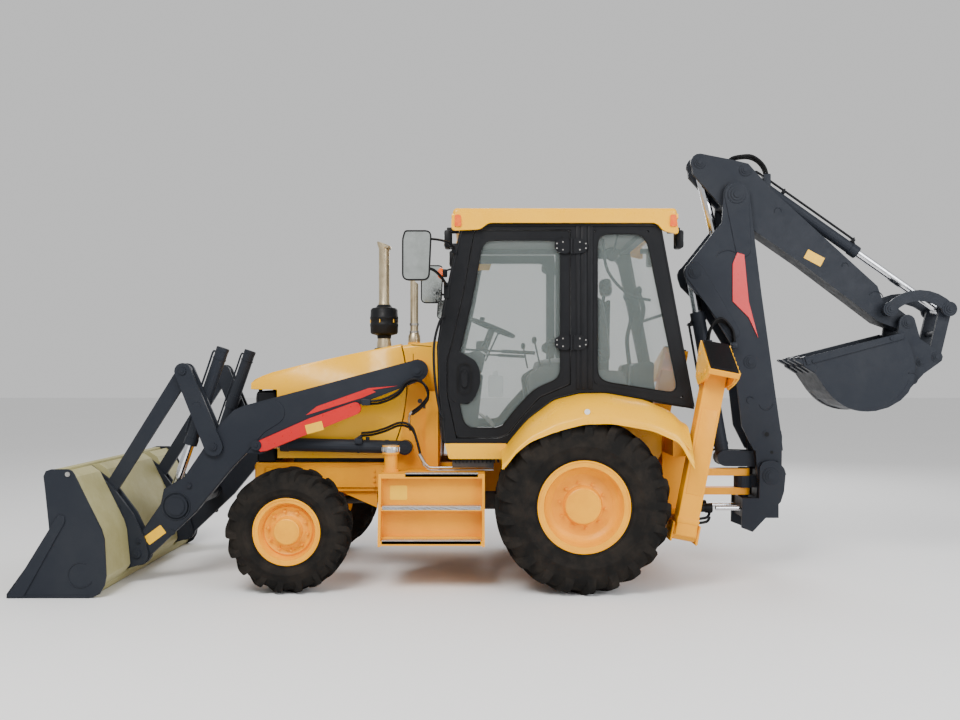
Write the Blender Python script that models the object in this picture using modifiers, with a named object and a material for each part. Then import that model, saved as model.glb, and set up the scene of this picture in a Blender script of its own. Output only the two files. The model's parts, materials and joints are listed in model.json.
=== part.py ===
"""Backhoe loader: loader bucket in front, cab in the middle, folded backhoe behind.

Metres, +X forward, +Y to the driver's left, +Z up, standing on z = 0.
Side outlines are (x, z) pairs measured from the rear axle's centre line; the
whole machine is then shifted by AXLE_X so that it is centred on the origin.
"""
import math

import bmesh
import bpy
from mathutils import Matrix, Vector

# Running clearances
TOUCH = 0.0003          # between pieces that rest on each other
PIN_GAP = 0.0005        # beside a hinge boss
SLIDE_GAP = 0.0006      # between a rod and its barrel

# Overall
AXLE_X = -0.5165        # rear axle's place along the machine
WHEELBASE = 2.20
TRACK_Y = 0.9025        # wheel centre plane from the middle
STEPS = 28              # facets round a turned piece

# Wheels: radius, half width, rim seat radius, flange radius
REAR_R, REAR_HALF, REAR_SEAT, REAR_FLANGE = 0.657, 0.2475, 0.305, 0.345
FRONT_R, FRONT_HALF, FRONT_SEAT, FRONT_FLANGE = 0.467, 0.175, 0.222, 0.252
KINGPIN_Y = 0.62
SPINDLE_R = 0.05

# Frame
RAIL_IN, RAIL_OUT = 0.30, 0.38
RAIL_LOW, RAIL_TOP = 0.69, 0.92
REAR_RAIL_LOW = 0.75
RAIL_REAR, RAIL_FRONT = -0.70, 2.58
TANK_IN = 0.50

# Hood and cab
HOOD_HALF, SKIN = 0.40, 0.015
HOOD_HINGE = (2.58, 1.55)
HOOD_REACH = 1.2185     # hinge to the hood's rear edge
HOOD_LUGS = ((0.25, 0.30),)
CAB_HALF, CAB_WALL = 0.78, 0.045
FLOOR_TOP = 1.1047
DOOR_GAP = 0.008
DOOR_HINGE = (0.065, 0.7935)
DOOR_HINGE_Z = (1.88, 2.62)
KNUCKLE_R, KNUCKLE_HALF = 0.012, 0.03

# Loader
ARM_IN, ARM_OUT = 0.555, 0.615
ARM_PIVOT = (1.260, 1.668)
LIFT_BASE, LIFT_EYE = (1.364, 1.052), (2.504, 1.081)
LIFT_Y, LIFT_RADIUS, TILT_Y = 0.485, 0.053, 0.455
CRANK_PIVOT, CRANK_TOP, CRANK_MID = (2.851, 1.067), (3.093, 1.659), (2.984, 1.387)
BUCKET_PIVOT, LINK_PIN, TILT_EYE = (3.451, 0.232), (3.703, 0.688), (3.216, 0.711)
BUCKET_HALF = 1.15
CROSS_TUBE = (3.150, 0.600)

# Backhoe
SWING_X = -1.47
TONGUE_HALF = 0.055
BOOM_FOOT, BOOM_BASE, BOOM_LUG = (-1.65, 0.79), (-1.30, 0.93), (-1.022, 2.489)
DIPPER_PIVOT, DIPPER_BASE, DIPPER_TAIL = (-1.374, 3.136), (-1.487, 1.739), (-1.078, 3.415)
HOE_BASE, ROCKER_PIN, ROCKER_TOP = (-1.461, 3.351), (-2.642, 2.178), (-3.130, 2.178)
HOE_PIVOT, HOE_LINK_PIN = (-2.794, 2.066), (-3.034, 1.779)
BOOM_IN, BOOM_OUT = 0.125, 0.150
DIPPER_HALF, HOE_HALF = 0.10, 0.25
EAR_IN, EAR_OUT = 0.137, 0.165
ROCKER_IN, ROCKER_OUT = 0.172, 0.195

# Stabilizers
LEG_FOOT = (-0.774, 0.44)
LEG_Y, LEG_LENGTH, LEG_LEAN = 0.90, 1.25, math.radians(11)
LEG_X, LEG_HALF_Y = 0.08, 0.075
PAD_TILT = math.radians(-26)

YELLOW, ORANGE = (0.95, 0.55, 0.01), (0.80, 0.32, 0.01)
SLATE, DARK = (0.035, 0.042, 0.05), (0.02, 0.02, 0.022)
KHAKI, CREAM, CHROME = (0.42, 0.39, 0.22), (0.66, 0.62, 0.52), (0.75, 0.76, 0.78)


# ---------------------------------------------------------------- helpers

def collection(name):
    """A new collection in the scene."""
    group = bpy.data.collections.new(name)
    bpy.context.scene.collection.children.link(group)
    return group


def link(obj):
    PARTS.objects.link(obj)
    return obj


def baked(obj):
    """Replace an object by the mesh it evaluates to, welded, in world space."""
    bpy.context.view_layer.update()
    graph = bpy.context.evaluated_depsgraph_get()
    mesh = bpy.data.meshes.new_from_object(obj.evaluated_get(graph))
    mesh.transform(obj.matrix_world)
    bpy.data.objects.remove(obj)
    edit = bmesh.new()
    edit.from_mesh(mesh)
    bmesh.ops.remove_doubles(edit, verts=edit.verts, dist=0.00002)
    bmesh.ops.recalc_face_normals(edit, faces=edit.faces)
    edit.to_mesh(mesh)
    edit.free()
    return link(bpy.data.objects.new("piece", mesh))


def box(x, y, z, bevel=0.0):
    """A block between the given pairs of x, y and z."""
    edit = bmesh.new()
    size = [abs(b - a) for a, b in (x, y, z)]
    middle = [(a + b) / 2 for a, b in (x, y, z)]
    bmesh.ops.create_cube(edit, size=1, matrix=Matrix.Translation(middle) @ Matrix.Diagonal((*size, 1)))
    mesh = bpy.data.meshes.new("block")
    edit.to_mesh(mesh)
    edit.free()
    obj = link(bpy.data.objects.new("block", mesh))
    if bevel:
        rounding = obj.modifiers.new("Rounding", "BEVEL")
        rounding.width, rounding.segments = bevel, 2
        obj = baked(obj)
    return obj


def rod(start, end, radius, end_radius=None, steps=16):
    """A round bar, or a cone, between two points."""
    start, end = Vector(start), Vector(end)
    edit = bmesh.new()
    turn = (end - start).to_track_quat("Z", "Y").to_matrix().to_4x4()
    place = Matrix.Translation((start + end) / 2) @ turn
    bmesh.ops.create_cone(edit, cap_ends=True, segments=steps, radius1=radius,
                          radius2=radius if end_radius is None else end_radius,
                          depth=(end - start).length, matrix=place)
    mesh = bpy.data.meshes.new("bar")
    edit.to_mesh(mesh)
    edit.free()
    return link(bpy.data.objects.new("bar", mesh))


def boss(pin, radius, y, steps=16):
    """A round boss on a cross pin at (x, z), between two values of y."""
    return rod((pin[0], y[0], pin[1]), (pin[0], y[1], pin[1]), radius, steps=steps)


def plate(outline, y, holes=()):
    """A flat plate: an (x, z) outline with holes, standing between two values of y."""
    curve = bpy.data.curves.new("outline", "CURVE")
    curve.dimensions, curve.fill_mode = "2D", "BOTH"
    curve.extrude = abs(y[1] - y[0]) / 2
    for loop in (outline, *holes):
        spline = curve.splines.new("POLY")
        spline.points.add(len(loop) - 1)
        for point, (x, z) in zip(spline.points, loop):
            point.co = (x, z, 0, 1)
        spline.use_cyclic_u = True
    obj = link(bpy.data.objects.new("outline", curve))
    obj.location = (0, (y[0] + y[1]) / 2, 0)
    obj.rotation_euler = (math.pi / 2, 0, 0)
    return baked(obj)


def turned(profile, centre, steps=STEPS):
    """A body turned about the y axis through a centre; profile is (radius, y) pairs."""
    mesh = bpy.data.meshes.new("profile")
    closed = profile[0][0] > 0
    count = len(profile)
    pairs = [(i, (i + 1) % count) for i in range(count if closed else count - 1)]
    mesh.from_pydata([(r, 0, h) for r, h in profile], pairs, [])
    obj = link(bpy.data.objects.new("profile", mesh))
    screw = obj.modifiers.new("Turning", "SCREW")
    screw.steps = screw.render_steps = steps
    screw.use_merge_vertices, screw.merge_threshold = True, 0.00005
    obj.rotation_euler = (-math.pi / 2, 0, 0)
    obj.location = centre
    return baked(obj)


def combine(first, others, operation):
    """Join or cut solids with exact Booleans and keep the result as one mesh."""
    for other in others:
        step = first.modifiers.new(operation.title(), "BOOLEAN")
        step.operation, step.solver, step.object = operation, "EXACT", other
    result = baked(first)
    for other in others:
        bpy.data.objects.remove(other)
    return result


def fuse(first, *others):
    return combine(first, others, "UNION") if others else first


def cut(first, *others):
    return combine(first, others, "DIFFERENCE")


def mirrored(obj):
    """A copy of a solid reflected to the other side of the machine."""
    mesh = obj.data.copy()
    mesh.transform(Matrix.Scale(-1, 4, (0, 1, 0)))
    mesh.flip_normals()
    return link(bpy.data.objects.new("mirror", mesh))


def both(obj):
    """A solid and its mirror image."""
    return obj, mirrored(obj)


def arc(centre, radius, start, end, count=8):
    """Points along an arc, angles in degrees from +x towards +z."""
    steps = [math.radians(start + (end - start) * i / (count - 1)) for i in range(count)]
    return [(centre[0] + radius * math.cos(a), centre[1] + radius * math.sin(a)) for a in steps]


def bar(ends, count=9):
    """The outline round two pins: ((x, z), radius) twice, with round ends."""
    (a, ra), (b, rb) = ends
    along = math.degrees(math.atan2(b[1] - a[1], b[0] - a[0]))
    side = math.degrees(math.acos((ra - rb) / math.dist(a, b)))
    return (arc(a, ra, along + side, along + 360 - side, count)
            + arc(b, rb, along - side, along + side, count))


def grown(outline, distance):
    """An outline moved outwards by a distance; inwards when negative."""
    points = [Vector(p) for p in outline]
    area = sum(points[i - 1].x * p.y - p.x * points[i - 1].y for i, p in enumerate(points))
    moved = []
    for i, here in enumerate(points):
        one = (here - points[i - 1]).normalized()
        two = (points[(i + 1) % len(points)] - here).normalized()
        out = Vector((one.y + two.y, -one.x - two.x)) * math.copysign(1, area)
        moved.append(tuple(here + out * distance / max(0.3, 1 + one.dot(two))))
    return moved


def paint(name, colour, roughness=0.45, metallic=0.0):
    material = bpy.data.materials.get(name) or bpy.data.materials.new(name)
    material.use_nodes = True
    shader = material.node_tree.nodes["Principled BSDF"]
    shader.inputs["Base Color"].default_value = (*colour, 1)
    shader.inputs["Roughness"].default_value = roughness
    shader.inputs["Metallic"].default_value = metallic
    return material


def node(name, obj, colour, pivot=None, parent=None, roughness=0.45, metallic=0.0):
    """Name a finished solid, paint it, and hang it on its joint's axis."""
    origin = Vector(pivot if pivot else (0, 0, 0))
    obj.name = obj.data.name = name
    obj.data.transform(Matrix.Translation(-origin))
    obj.data.shade_smooth()
    obj.data.set_sharp_from_angle(angle=math.radians(35))
    obj.data.materials.clear()
    obj.data.materials.append(paint(name, colour, roughness, metallic))
    carrier = parent or ROOT
    obj.location = origin - PLACE[carrier.name]
    obj.parent = carrier
    PLACE[name] = origin
    return obj


def on(pin, y=0.0):
    """The point of a cross pin at (x, z) and a value of y."""
    return (pin[0], y, pin[1])


def cylinder(names, base, eye, y, radius, length, start, width, carrier, back=0.0, trunnion=0.0, eye_r=0.048):
    """A hydraulic cylinder lying in the plane y, as a barrel node and a rod node.

    length is the barrel's open end measured from its pin, start the rod's inner end,
    width half the eyes' width, back how far the barrel reaches behind a trunnion pin,
    and trunnion the value of y where its stub ends.
    """
    a, b = Vector(on(base, y)), Vector(on(eye, y))
    along = (b - a).normalized()
    bore = radius * 0.72
    if back:
        shell = rod(a - along * back, a + along * length, radius)
        shell = fuse(shell, boss(base, 0.045, (y, trunnion)))
        shell = cut(shell, rod(a - along * (back - 0.02), a + along * (length + 0.01), bore))
    else:
        shell = fuse(rod(a, a + along * length, radius), boss(base, radius * 1.1, (y - width, y + width)))
        shell = cut(shell, rod(a + along * (radius * 1.1 + 0.02), a + along * (length + 0.01), bore))
    piston = fuse(rod(a + along * start, b, bore - SLIDE_GAP),
                  boss(eye, eye_r, (y - width * 0.9, y + width * 0.9)))
    barrel = node(names[0], shell, SLATE, tuple(a), carrier)
    shaft = node(names[1], piston, CHROME, tuple(a), barrel, 0.15, 1.0)
    return barrel, shaft


# ---------------------------------------------------------------- scene set-up

for old in list(bpy.data.objects):
    bpy.data.objects.remove(old)
PARTS = collection("backhoe_loader")
ROOT = bpy.data.objects.new("machine", None)
PARTS.objects.link(ROOT)
ROOT.location = (AXLE_X, 0, 0)
PLACE = {"machine": Vector((0, 0, 0))}

SIDES = (("left", 1), ("right", -1))


def sided(obj, sign):
    """A solid made for the left side, or its reflection."""
    if sign > 0:
        return obj
    other = mirrored(obj)
    bpy.data.objects.remove(obj)
    return other


# ---------------------------------------------------------------- frame and axles

def crown(x):
    """Height of the fender's crest over the rear wheel."""
    points = [(-0.78, 1.25), (-0.70, 1.34), (-0.50, 1.43), (-0.20, 1.483), (0.0, 1.48), (0.20, 1.43),
              (0.40, 1.28), (0.50, 1.165), (0.56, 1.09), (0.60, 1.03)]
    for (x0, z0), (x1, z1) in zip(points, points[1:]):
        if x <= x1:
            return z0 + (z1 - z0) * (x - x0) / (x1 - x0)
    return points[-1][1]


def make_main_frame():
    rail = [(RAIL_REAR, REAR_RAIL_LOW), (0.45, REAR_RAIL_LOW), (0.55, RAIL_LOW), (RAIL_FRONT, RAIL_LOW),
            (RAIL_FRONT, RAIL_TOP), (RAIL_REAR, RAIL_TOP)]
    rails = both(plate(rail, (RAIL_IN, RAIL_OUT)))
    ties = [box((x0, x1), (-RAIL_IN - 0.02, RAIL_IN + 0.02), (z0, z1)) for x0, x1, z0, z1 in
            ((2.46, 2.57, 0.62, 0.90), (1.32, 1.50, 0.70, 0.90), (-0.55, -0.40, 0.77, 0.90))]
    trunnion = box((2.10, 2.30), (-RAIL_IN - 0.02, RAIL_IN + 0.02), (0.6203, 0.74))
    tower = [(1.10, 0.71), (1.44, 0.71), (1.44, 1.06), (1.40, 1.12), (1.335, 1.62), (1.345, 1.70),
             *arc(ARM_PIVOT, 0.087, 20, 160, 7), (1.12, 1.55), (1.08, 1.10)]
    towers = both(fuse(plate(tower, (0.4115, 0.4265)),
                       boss(ARM_PIVOT, 0.075, (0.415, ARM_IN - PIN_GAP)),
                       boss(LIFT_BASE, 0.05, (0.415, LIFT_Y - LIFT_RADIUS - PIN_GAP)),
                       box((1.10, 1.20), (0.42, TANK_IN - TOUCH), (0.73, 1.50)),
                       box((1.11, 1.43), (RAIL_OUT - 0.02, 0.42), (0.72, 0.905))))
    return fuse(*rails, *ties, trunnion, *towers)


def make_rear_frame():
    uprights = both(box((-0.93, RAIL_REAR - TOUCH), (0.26, 0.44), (0.38, 1.15)))
    reach = LEG_Y - LEG_HALF_Y - 0.01
    beams = [box((-0.92, -0.71), (-reach, reach), (1.01, 1.14)), box((-0.90, -0.712), (-reach, reach), (0.40, 0.56))]
    lugs = []
    for z in ((0.62, 0.68), (0.78, 0.84)):
        tongue = box((SWING_X, -0.86), (-TONGUE_HALF, TONGUE_HALF), z)
        lugs.append(fuse(tongue, rod((SWING_X, 0, z[0]), (SWING_X, 0, z[1]), TONGUE_HALF)))
    wall = box((-0.90, -0.86), (-0.28, 0.28), (0.42, 1.10))
    clevis = []
    lean = Matrix.Rotation(-LEG_LEAN, 4, "Y")
    for x in ((-0.108, -0.0885), (0.0885, 0.108)):
        cheek = box(x, (LEG_Y - 0.12, LEG_Y + 0.06), (-0.075, 0.075), 0.01)
        cheek.data.transform(Matrix.Translation(on(LEG_FOOT)) @ lean)
        clevis += both(cheek)
    back_ties = both(box((-0.885, -0.67), (LEG_Y - 0.16, LEG_Y - 0.09), (0.39, 0.53)))
    return fuse(wall, *uprights, *beams, *lugs, *clevis, *back_ties)


def make_front_axle():
    hub_z = FRONT_R
    beam = box((WHEELBASE - 0.07, WHEELBASE + 0.07), (-0.54, 0.54), (hub_z - 0.07, hub_z + 0.07), 0.02)
    bulge = rod((WHEELBASE, -0.12, hub_z), (WHEELBASE, 0.12, hub_z), 0.14)
    seat = box((WHEELBASE - 0.09, WHEELBASE + 0.09), (-0.11, 0.11), (hub_z, 0.62))
    forks = []
    for low, high in ((0.575, 0.605), (0.329, 0.359)):
        arm = fuse(box((WHEELBASE - 0.05, WHEELBASE + 0.05), (0.50, KINGPIN_Y), (low, high)),
                   rod((WHEELBASE, KINGPIN_Y, low), (WHEELBASE, KINGPIN_Y, high), 0.055))
        forks += both(arm)
    posts = both(box((WHEELBASE - 0.05, WHEELBASE + 0.05), (0.48, 0.535), (0.335, 0.60)))
    return fuse(beam, bulge, seat, *posts, *forks)


def make_knuckle():
    upright = rod((WHEELBASE, KINGPIN_Y, 0.359 + PIN_GAP), (WHEELBASE, KINGPIN_Y, 0.575 - PIN_GAP), 0.052)
    spindle = rod((WHEELBASE, KINGPIN_Y, FRONT_R), (WHEELBASE, TRACK_Y - 0.06 - PIN_GAP, FRONT_R), SPINDLE_R)
    return fuse(upright, spindle)


def make_rear_axle():
    tube = rod((0, -0.70, REAR_R), (0, 0.70, REAR_R), 0.085)
    bulge = rod((0, -0.15, REAR_R), (0, 0.15, REAR_R), 0.17)
    ends = both(rod((0, 0.60, REAR_R), (0, TRACK_Y - 0.08 - PIN_GAP, REAR_R), 0.13))
    pads = both(box((-0.09, 0.09), (RAIL_IN, RAIL_OUT), (REAR_R, REAR_RAIL_LOW - TOUCH)))
    return fuse(tube, bulge, *ends, *pads)


def make_tyre(radius, half, seat, flange, x, sign):
    """A solid tyre section from bead to tread, symmetric about its centre plane."""
    depth = radius - seat
    side = [(seat + 0.0004, 0.80 * half), (flange + 0.003, 0.80 * half), (seat + 0.24 * depth, 0.94 * half),
            (seat + 0.48 * depth, half), (seat + 0.76 * depth, 0.96 * half), (seat + 0.94 * depth, 0.86 * half), (radius, 0.62 * half)]
    profile = side + [(r, -y) for r, y in reversed(side)]
    return turned(profile, (x, sign * TRACK_Y, radius))


def make_rim(radius, half, seat, flange, inner, x, sign):
    """A rim with its dished disc and hub cap, outer side towards +y on the left."""
    edge = 0.80 * half
    out = [(0, inner), (0.12, inner), (0.13, inner + 0.03), (seat - 0.055, 0.045), (seat - 0.022, 0.02),
           (seat - 0.022, -edge - 0.012), (flange, -edge - 0.012), (flange, -edge - 0.001),
           (seat, -edge - 0.001), (seat, edge + 0.001), (flange, edge + 0.001), (flange, edge + 0.012),
           (seat - 0.022, edge + 0.012), (seat - 0.03, 0.075), (0.45 * seat + 0.02, 0.085),
           (0.45 * seat, 0.145), (0.40 * seat, 0.155), (0, 0.155)]
    profile = [(r, sign * y) for r, y in out]
    return turned(profile, (x, sign * TRACK_Y, radius))


def build_frame():
    node("main_frame", make_main_frame(), ORANGE)
    node("rear_frame", make_rear_frame(), ORANGE)
    node("engine_block", box((1.52, 2.30), (-0.27, 0.27), (0.7405, 1.42), 0.03), DARK)
    node("front_axle", make_front_axle(), ORANGE)
    node("rear_axle", make_rear_axle(), ORANGE)


def build_wheels():
    sizes = {"rear": (REAR_R, REAR_HALF, REAR_SEAT, REAR_FLANGE, -0.08, 0.0),
             "front": (FRONT_R, FRONT_HALF, FRONT_SEAT, FRONT_FLANGE, -0.06, WHEELBASE)}
    for side, sign in SIDES:
        pin = (WHEELBASE, sign * KINGPIN_Y, FRONT_R)
        knuckle = node("knuckle_" + side, sided(make_knuckle(), sign), ORANGE, pin)
        for end, (radius, half, seat, flange, inner, x) in sizes.items():
            hub = (x, sign * TRACK_Y, radius)
            carrier = knuckle if end == "front" else None
            rim = make_rim(radius, half, seat, flange, inner, x, sign)
            rim = node(f"{end}_rim_{side}", rim, ORANGE, hub, carrier)
            tyre = make_tyre(radius, half, seat, flange, x, sign)
            node(f"{end}_tyre_{side}", tyre, DARK, hub, rim, 0.9)


# ---------------------------------------------------------------- hood, cowl and cab

def make_hood():
    top_rear = math.degrees(math.atan2(1.869 - HOOD_HINGE[1], 1.404 - HOOD_HINGE[0]))
    low_rear = math.degrees(math.asin((0.96 - HOOD_HINGE[1]) / HOOD_REACH))
    rear = arc(HOOD_HINGE, HOOD_REACH, 180 - low_rear, top_rear, 9)
    front = [(2.48, 1.625), (2.56, 1.592), (2.60, 1.56), (2.603, 1.515), (2.405, 1.512), (2.40, 0.96)]
    shell = plate(rear + front, (-HOOD_HALF, HOOD_HALF))
    hollow = [(1.20, 0.90), (1.20, 1.90), (1.395, 1.852), (2.39, 1.632), (2.42, 1.53), (2.42, 0.90)]
    hollow = plate(hollow, (-HOOD_HALF + SKIN, HOOD_HALF - SKIN))
    ring = boss_up((1.58, 0, 1.80), 1.86, 0.085)
    pockets = []
    for y in HOOD_LUGS:
        wide = (y[0] - PIN_GAP, y[1] + PIN_GAP)
        pockets += both(boss(HOOD_HINGE, 0.026, wide))
        pockets += both(box((HOOD_HINGE[0] - 0.035, HOOD_HINGE[0] + 0.06), wide, (1.49, HOOD_HINGE[1])))
    return cut(fuse(shell, ring), hollow, *pockets)


def make_radiator_guard():
    lugs = []
    for y in HOOD_LUGS:
        lugs += both(boss(HOOD_HINGE, 0.022, y))
        lugs += both(box((2.558, 2.5775), y, (1.48, HOOD_HINGE[1])))
    return fuse(box((2.42, 2.578), (-0.375, 0.375), (RAIL_TOP + TOUCH, 1.50), 0.02), *lugs)


def boss_up(foot, top, radius):
    """An upright round boss."""
    return rod(foot, (foot[0], foot[1], top), radius)


def make_precleaner():
    """Air intake: a neck, a wide dust bowl and a tall stack with a slanted cap."""
    outer = [(0, 1.8603), (0.065, 1.8603), (0.055, 1.96), (0.115, 1.985), (0.12, 2.10), (0.118, 2.19),
             (0.09, 2.22), (0.05, 2.26), (0.045, 2.70), (0.06, 2.74), (0.06, 2.78), (0, 2.78)]
    mesh = turned([(r, h) for r, h in outer], (0, 0, 0), 24)
    mesh.data.transform(Matrix.Translation((1.58, 0, 0)) @ Matrix.Rotation(math.pi / 2, 4, "X"))
    return mesh


def build_hood():
    cowl = arc(HOOD_HINGE, HOOD_REACH + 0.01, 208.8, 164.9, 9)
    cowl = plate(cowl + [(1.11, 1.905), (1.10, 1.88), (1.10, 0.9203), (1.50, 0.9203)], (-0.41, 0.41))
    cowl = fuse(cowl, boss_up((1.325, 0, 1.80), 1.905, 0.055))
    node("engine_cowl", cowl, YELLOW)
    node("radiator_guard", make_radiator_guard(), DARK)
    stack = fuse(boss_up((1.325, 0, 1.9053), 1.99, 0.05), boss_up((1.325, 0, 1.96), 2.46, 0.034))
    node("exhaust_stack", stack, CREAM, roughness=0.4, metallic=0.6)
    hinge = on(HOOD_HINGE)
    hood = node("hood", make_hood(), YELLOW, hinge)
    node("precleaner", make_precleaner(), CREAM, hinge, hood)


DOOR = [(0.943, 1.15), (1.013, 1.48), (1.016, 1.74), (0.977, 1.88), (0.889, 2.27), (0.804, 2.74),
        (0.075, 2.74), (0.075, 1.56), (0.31, 1.46), (0.45, 1.305), (0.55, 1.175), (0.62, 1.15)]
REAR_WINDOW = [(-0.11, 1.565), (-0.11, 2.74), (-0.53, 2.74), (-0.795, 1.455)]
SIDE_FRAME = [(1.03, 1.105), (1.075, 1.50), (1.085, 1.85), (1.04, 2.15), (0.965, 2.50), (0.89, 2.812),
              (-0.61, 2.812), (-0.878, 1.375), (-0.50, 1.447), (-0.20, 1.50), (0.0, 1.497), (0.20, 1.447),
              (0.40, 1.297), (0.50, 1.182), (0.565, 1.105)]


def make_fender():
    """Outer skin over a rear wheel, rolled down towards its outer edge."""
    across = [(0.605, 0.0), (0.80, 0.0), (0.92, 0.022), (1.02, 0.06), (1.10, 0.125), (1.15, 0.165)]
    along = [-0.78, -0.74, -0.66, -0.50, -0.35, -0.20, 0.0, 0.10, 0.20, 0.30, 0.40, 0.50, 0.56, 0.60]
    edit = bmesh.new()
    bmesh.ops.create_grid(edit, x_segments=len(along) - 1, y_segments=len(across) - 1, size=0.5)
    for vert in edit.verts:
        i = round((vert.co.x + 0.5) * (len(along) - 1))
        j = round((vert.co.y + 0.5) * (len(across) - 1))
        x = along[i]
        y, drop = across[j]
        share = 1.0 if x < 0.2 else max(0.5, 1 - (x - 0.2) / 0.6)
        vert.co = (x, y, crown(x) - drop * share)
    mesh = bpy.data.meshes.new("skin")
    edit.to_mesh(mesh)
    edit.free()
    skin = link(bpy.data.objects.new("skin", mesh))
    wall = skin.modifiers.new("Wall", "SOLIDIFY")
    wall.thickness, wall.offset = 0.012, -1
    return baked(skin)


def make_cab_base():
    inner = [(-0.62, 0.95), (-0.66, 1.02), (-0.66, 1.33)]
    inner += [(x, crown(x) - 0.012) for x in (-0.50, -0.20, 0.0, 0.20, 0.40, 0.50)]
    inner += [(0.58, 1.04), (0.58, 0.95)]
    walls = both(plate(inner, (0.60, 0.625)))
    fenders = both(make_fender())
    floor = box((-0.64, 1.0), (-0.61, 0.61), (1.05, FLOOR_TOP))
    back = box((-0.655, -0.60), (-0.61, 0.61), (1.06, 1.34))
    skirts = both(box((-0.50, 0.98), (0.305, 0.375), (RAIL_TOP + TOUCH, 1.07)))
    sills = both(box((0.57, 1.0), (0.56, CAB_HALF - 0.001), (0.985, FLOOR_TOP)))
    return fuse(floor, *walls, *fenders, back, *skirts, *sills)


def make_cab_frame():
    holes = [grown(DOOR, DOOR_GAP), REAR_WINDOW]
    sides = both(plate(SIDE_FRAME, (CAB_HALF - CAB_WALL, CAB_HALF), holes))
    ties = [box(x, (-0.75, 0.75), z) for x, z in (((0.83, 0.90), (2.745, 2.808)), ((-0.60, -0.53), (2.745, 2.808)),
                                                  ((0.99, 1.03), (1.108, 1.16)))]
    ties.append(plate([(-0.868, 1.380), (-0.80, 1.380), (-0.79, 1.45), (-0.857, 1.46)], (-0.75, 0.75)))
    screen = plate([(1.035, 1.11), (1.055, 1.11), (1.082, 1.50), (1.084, 1.62), (1.062, 1.62), (1.055, 1.50)],
                   (-0.75, 0.75))
    leaves = []
    x, y = DOOR_HINGE
    for z in DOOR_HINGE_Z:
        for low, high in ((z - 2 * KNUCKLE_HALF, z - KNUCKLE_HALF - PIN_GAP),
                          (z + KNUCKLE_HALF + PIN_GAP, z + 2 * KNUCKLE_HALF)):
            leaves += both(rod((x, y, low), (x, y, high), KNUCKLE_R, steps=12))
            leaves += both(box((x - 0.05, x), (CAB_HALF - 0.01, y), (low, high)))
    return fuse(*sides, *ties, screen, *leaves)


def make_door(sign):
    window = grown(DOOR, -0.055)
    leaf = plate(DOOR, (CAB_HALF - 0.038, CAB_HALF - 0.003), [window])
    x, y = DOOR_HINGE
    hinges = []
    for z in DOOR_HINGE_Z:
        low, high = z - KNUCKLE_HALF, z + KNUCKLE_HALF
        hinges.append(rod((x, y, low), (x, y, high), KNUCKLE_R, steps=12))
        hinges.append(box((x + 0.004, x + 0.055), (CAB_HALF - 0.01, y), (low, high)))
    return sided(fuse(leaf, *hinges), sign)


def make_seat():
    parts = [box((-0.10, 0.24), (-0.17, 0.17), (FLOOR_TOP + TOUCH, 1.60)),
             box((-0.22, 0.32), (-0.25, 0.25), (1.58, 1.76), 0.04)]
    back = plate([(-0.16, 1.66), (-0.22, 2.24), (-0.34, 2.24), (-0.31, 1.66)], (-0.24, 0.24))
    return fuse(*parts, back)


def make_console():
    dash = plate([(0.80, FLOOR_TOP + TOUCH), (0.95, FLOOR_TOP + TOUCH), (0.99, 1.70), (0.88, 1.78), (0.74, 1.62)],
                 (-0.32, 0.32))
    column = rod((0.82, 0, 1.60), (0.665, 0, 2.02), 0.03)
    tilt = Matrix.Translation((0.66, 0, 2.03)) @ Matrix.Rotation(math.radians(-22), 4, "Y")
    ring = []
    for i in range(20):
        a = math.tau * i / 20
        ring.append(tilt @ Vector((0.19 * math.cos(a), 0.19 * math.sin(a), 0)))
    wheel = wire(ring, 0.014, True)
    spokes = [rod(tilt @ Vector((0, 0, -0.015)), tilt @ Vector((0.19 * math.cos(a), 0.19 * math.sin(a), 0)), 0.012,
                  steps=8) for a in (0.4, 2.5, 4.7)]
    return fuse(dash, column, *spokes, wheel)


def wire(points, radius, cyclic=False):
    """A round bar along points."""
    curve = bpy.data.curves.new("wire", "CURVE")
    curve.dimensions, curve.bevel_depth, curve.bevel_resolution = "3D", radius, 1
    curve.use_fill_caps = not cyclic
    spline = curve.splines.new("POLY")
    spline.points.add(len(points) - 1)
    for point, place in zip(spline.points, points):
        point.co = (*place, 1)
    spline.use_cyclic_u = cyclic
    return baked(link(bpy.data.objects.new("wire", curve)))


def make_step_tank(filler):
    parts = [box((0.74, 1.52), (TANK_IN, 0.86), (0.40, 0.875)),
             box((0.74, 1.52), (0.60, 1.0), (0.355, 0.39)),
             box((0.74, 1.52), (0.70, 0.93), (0.375, 0.41)),
             box((0.74, 1.52), (0.84, 0.965), (0.61, 0.64)),
             box((0.74, 1.52), (0.60, 0.93), (0.85, 0.884))]
    for x in ((0.73, 0.75), (1.51, 1.53)):
        side = plate([(TANK_IN, 0.347), (1.0, 0.347), (1.0, 0.395), (0.965, 0.645), (0.93, 0.884), (TANK_IN, 0.884)],
                     x)
        side.data.transform(Matrix.Rotation(math.pi / 2, 4, "Z"))
        side.data.transform(Matrix.Scale(-1, 4, (1, 0, 0)))
        side.data.flip_normals()
        parts.append(side)
    if filler:
        parts.append(boss_up((1.455, 0.74, 0.85), 1.04, 0.05))
        parts.append(boss_up((1.455, 0.74, 1.02), 1.085, 0.065))
    return fuse(*parts)


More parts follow.
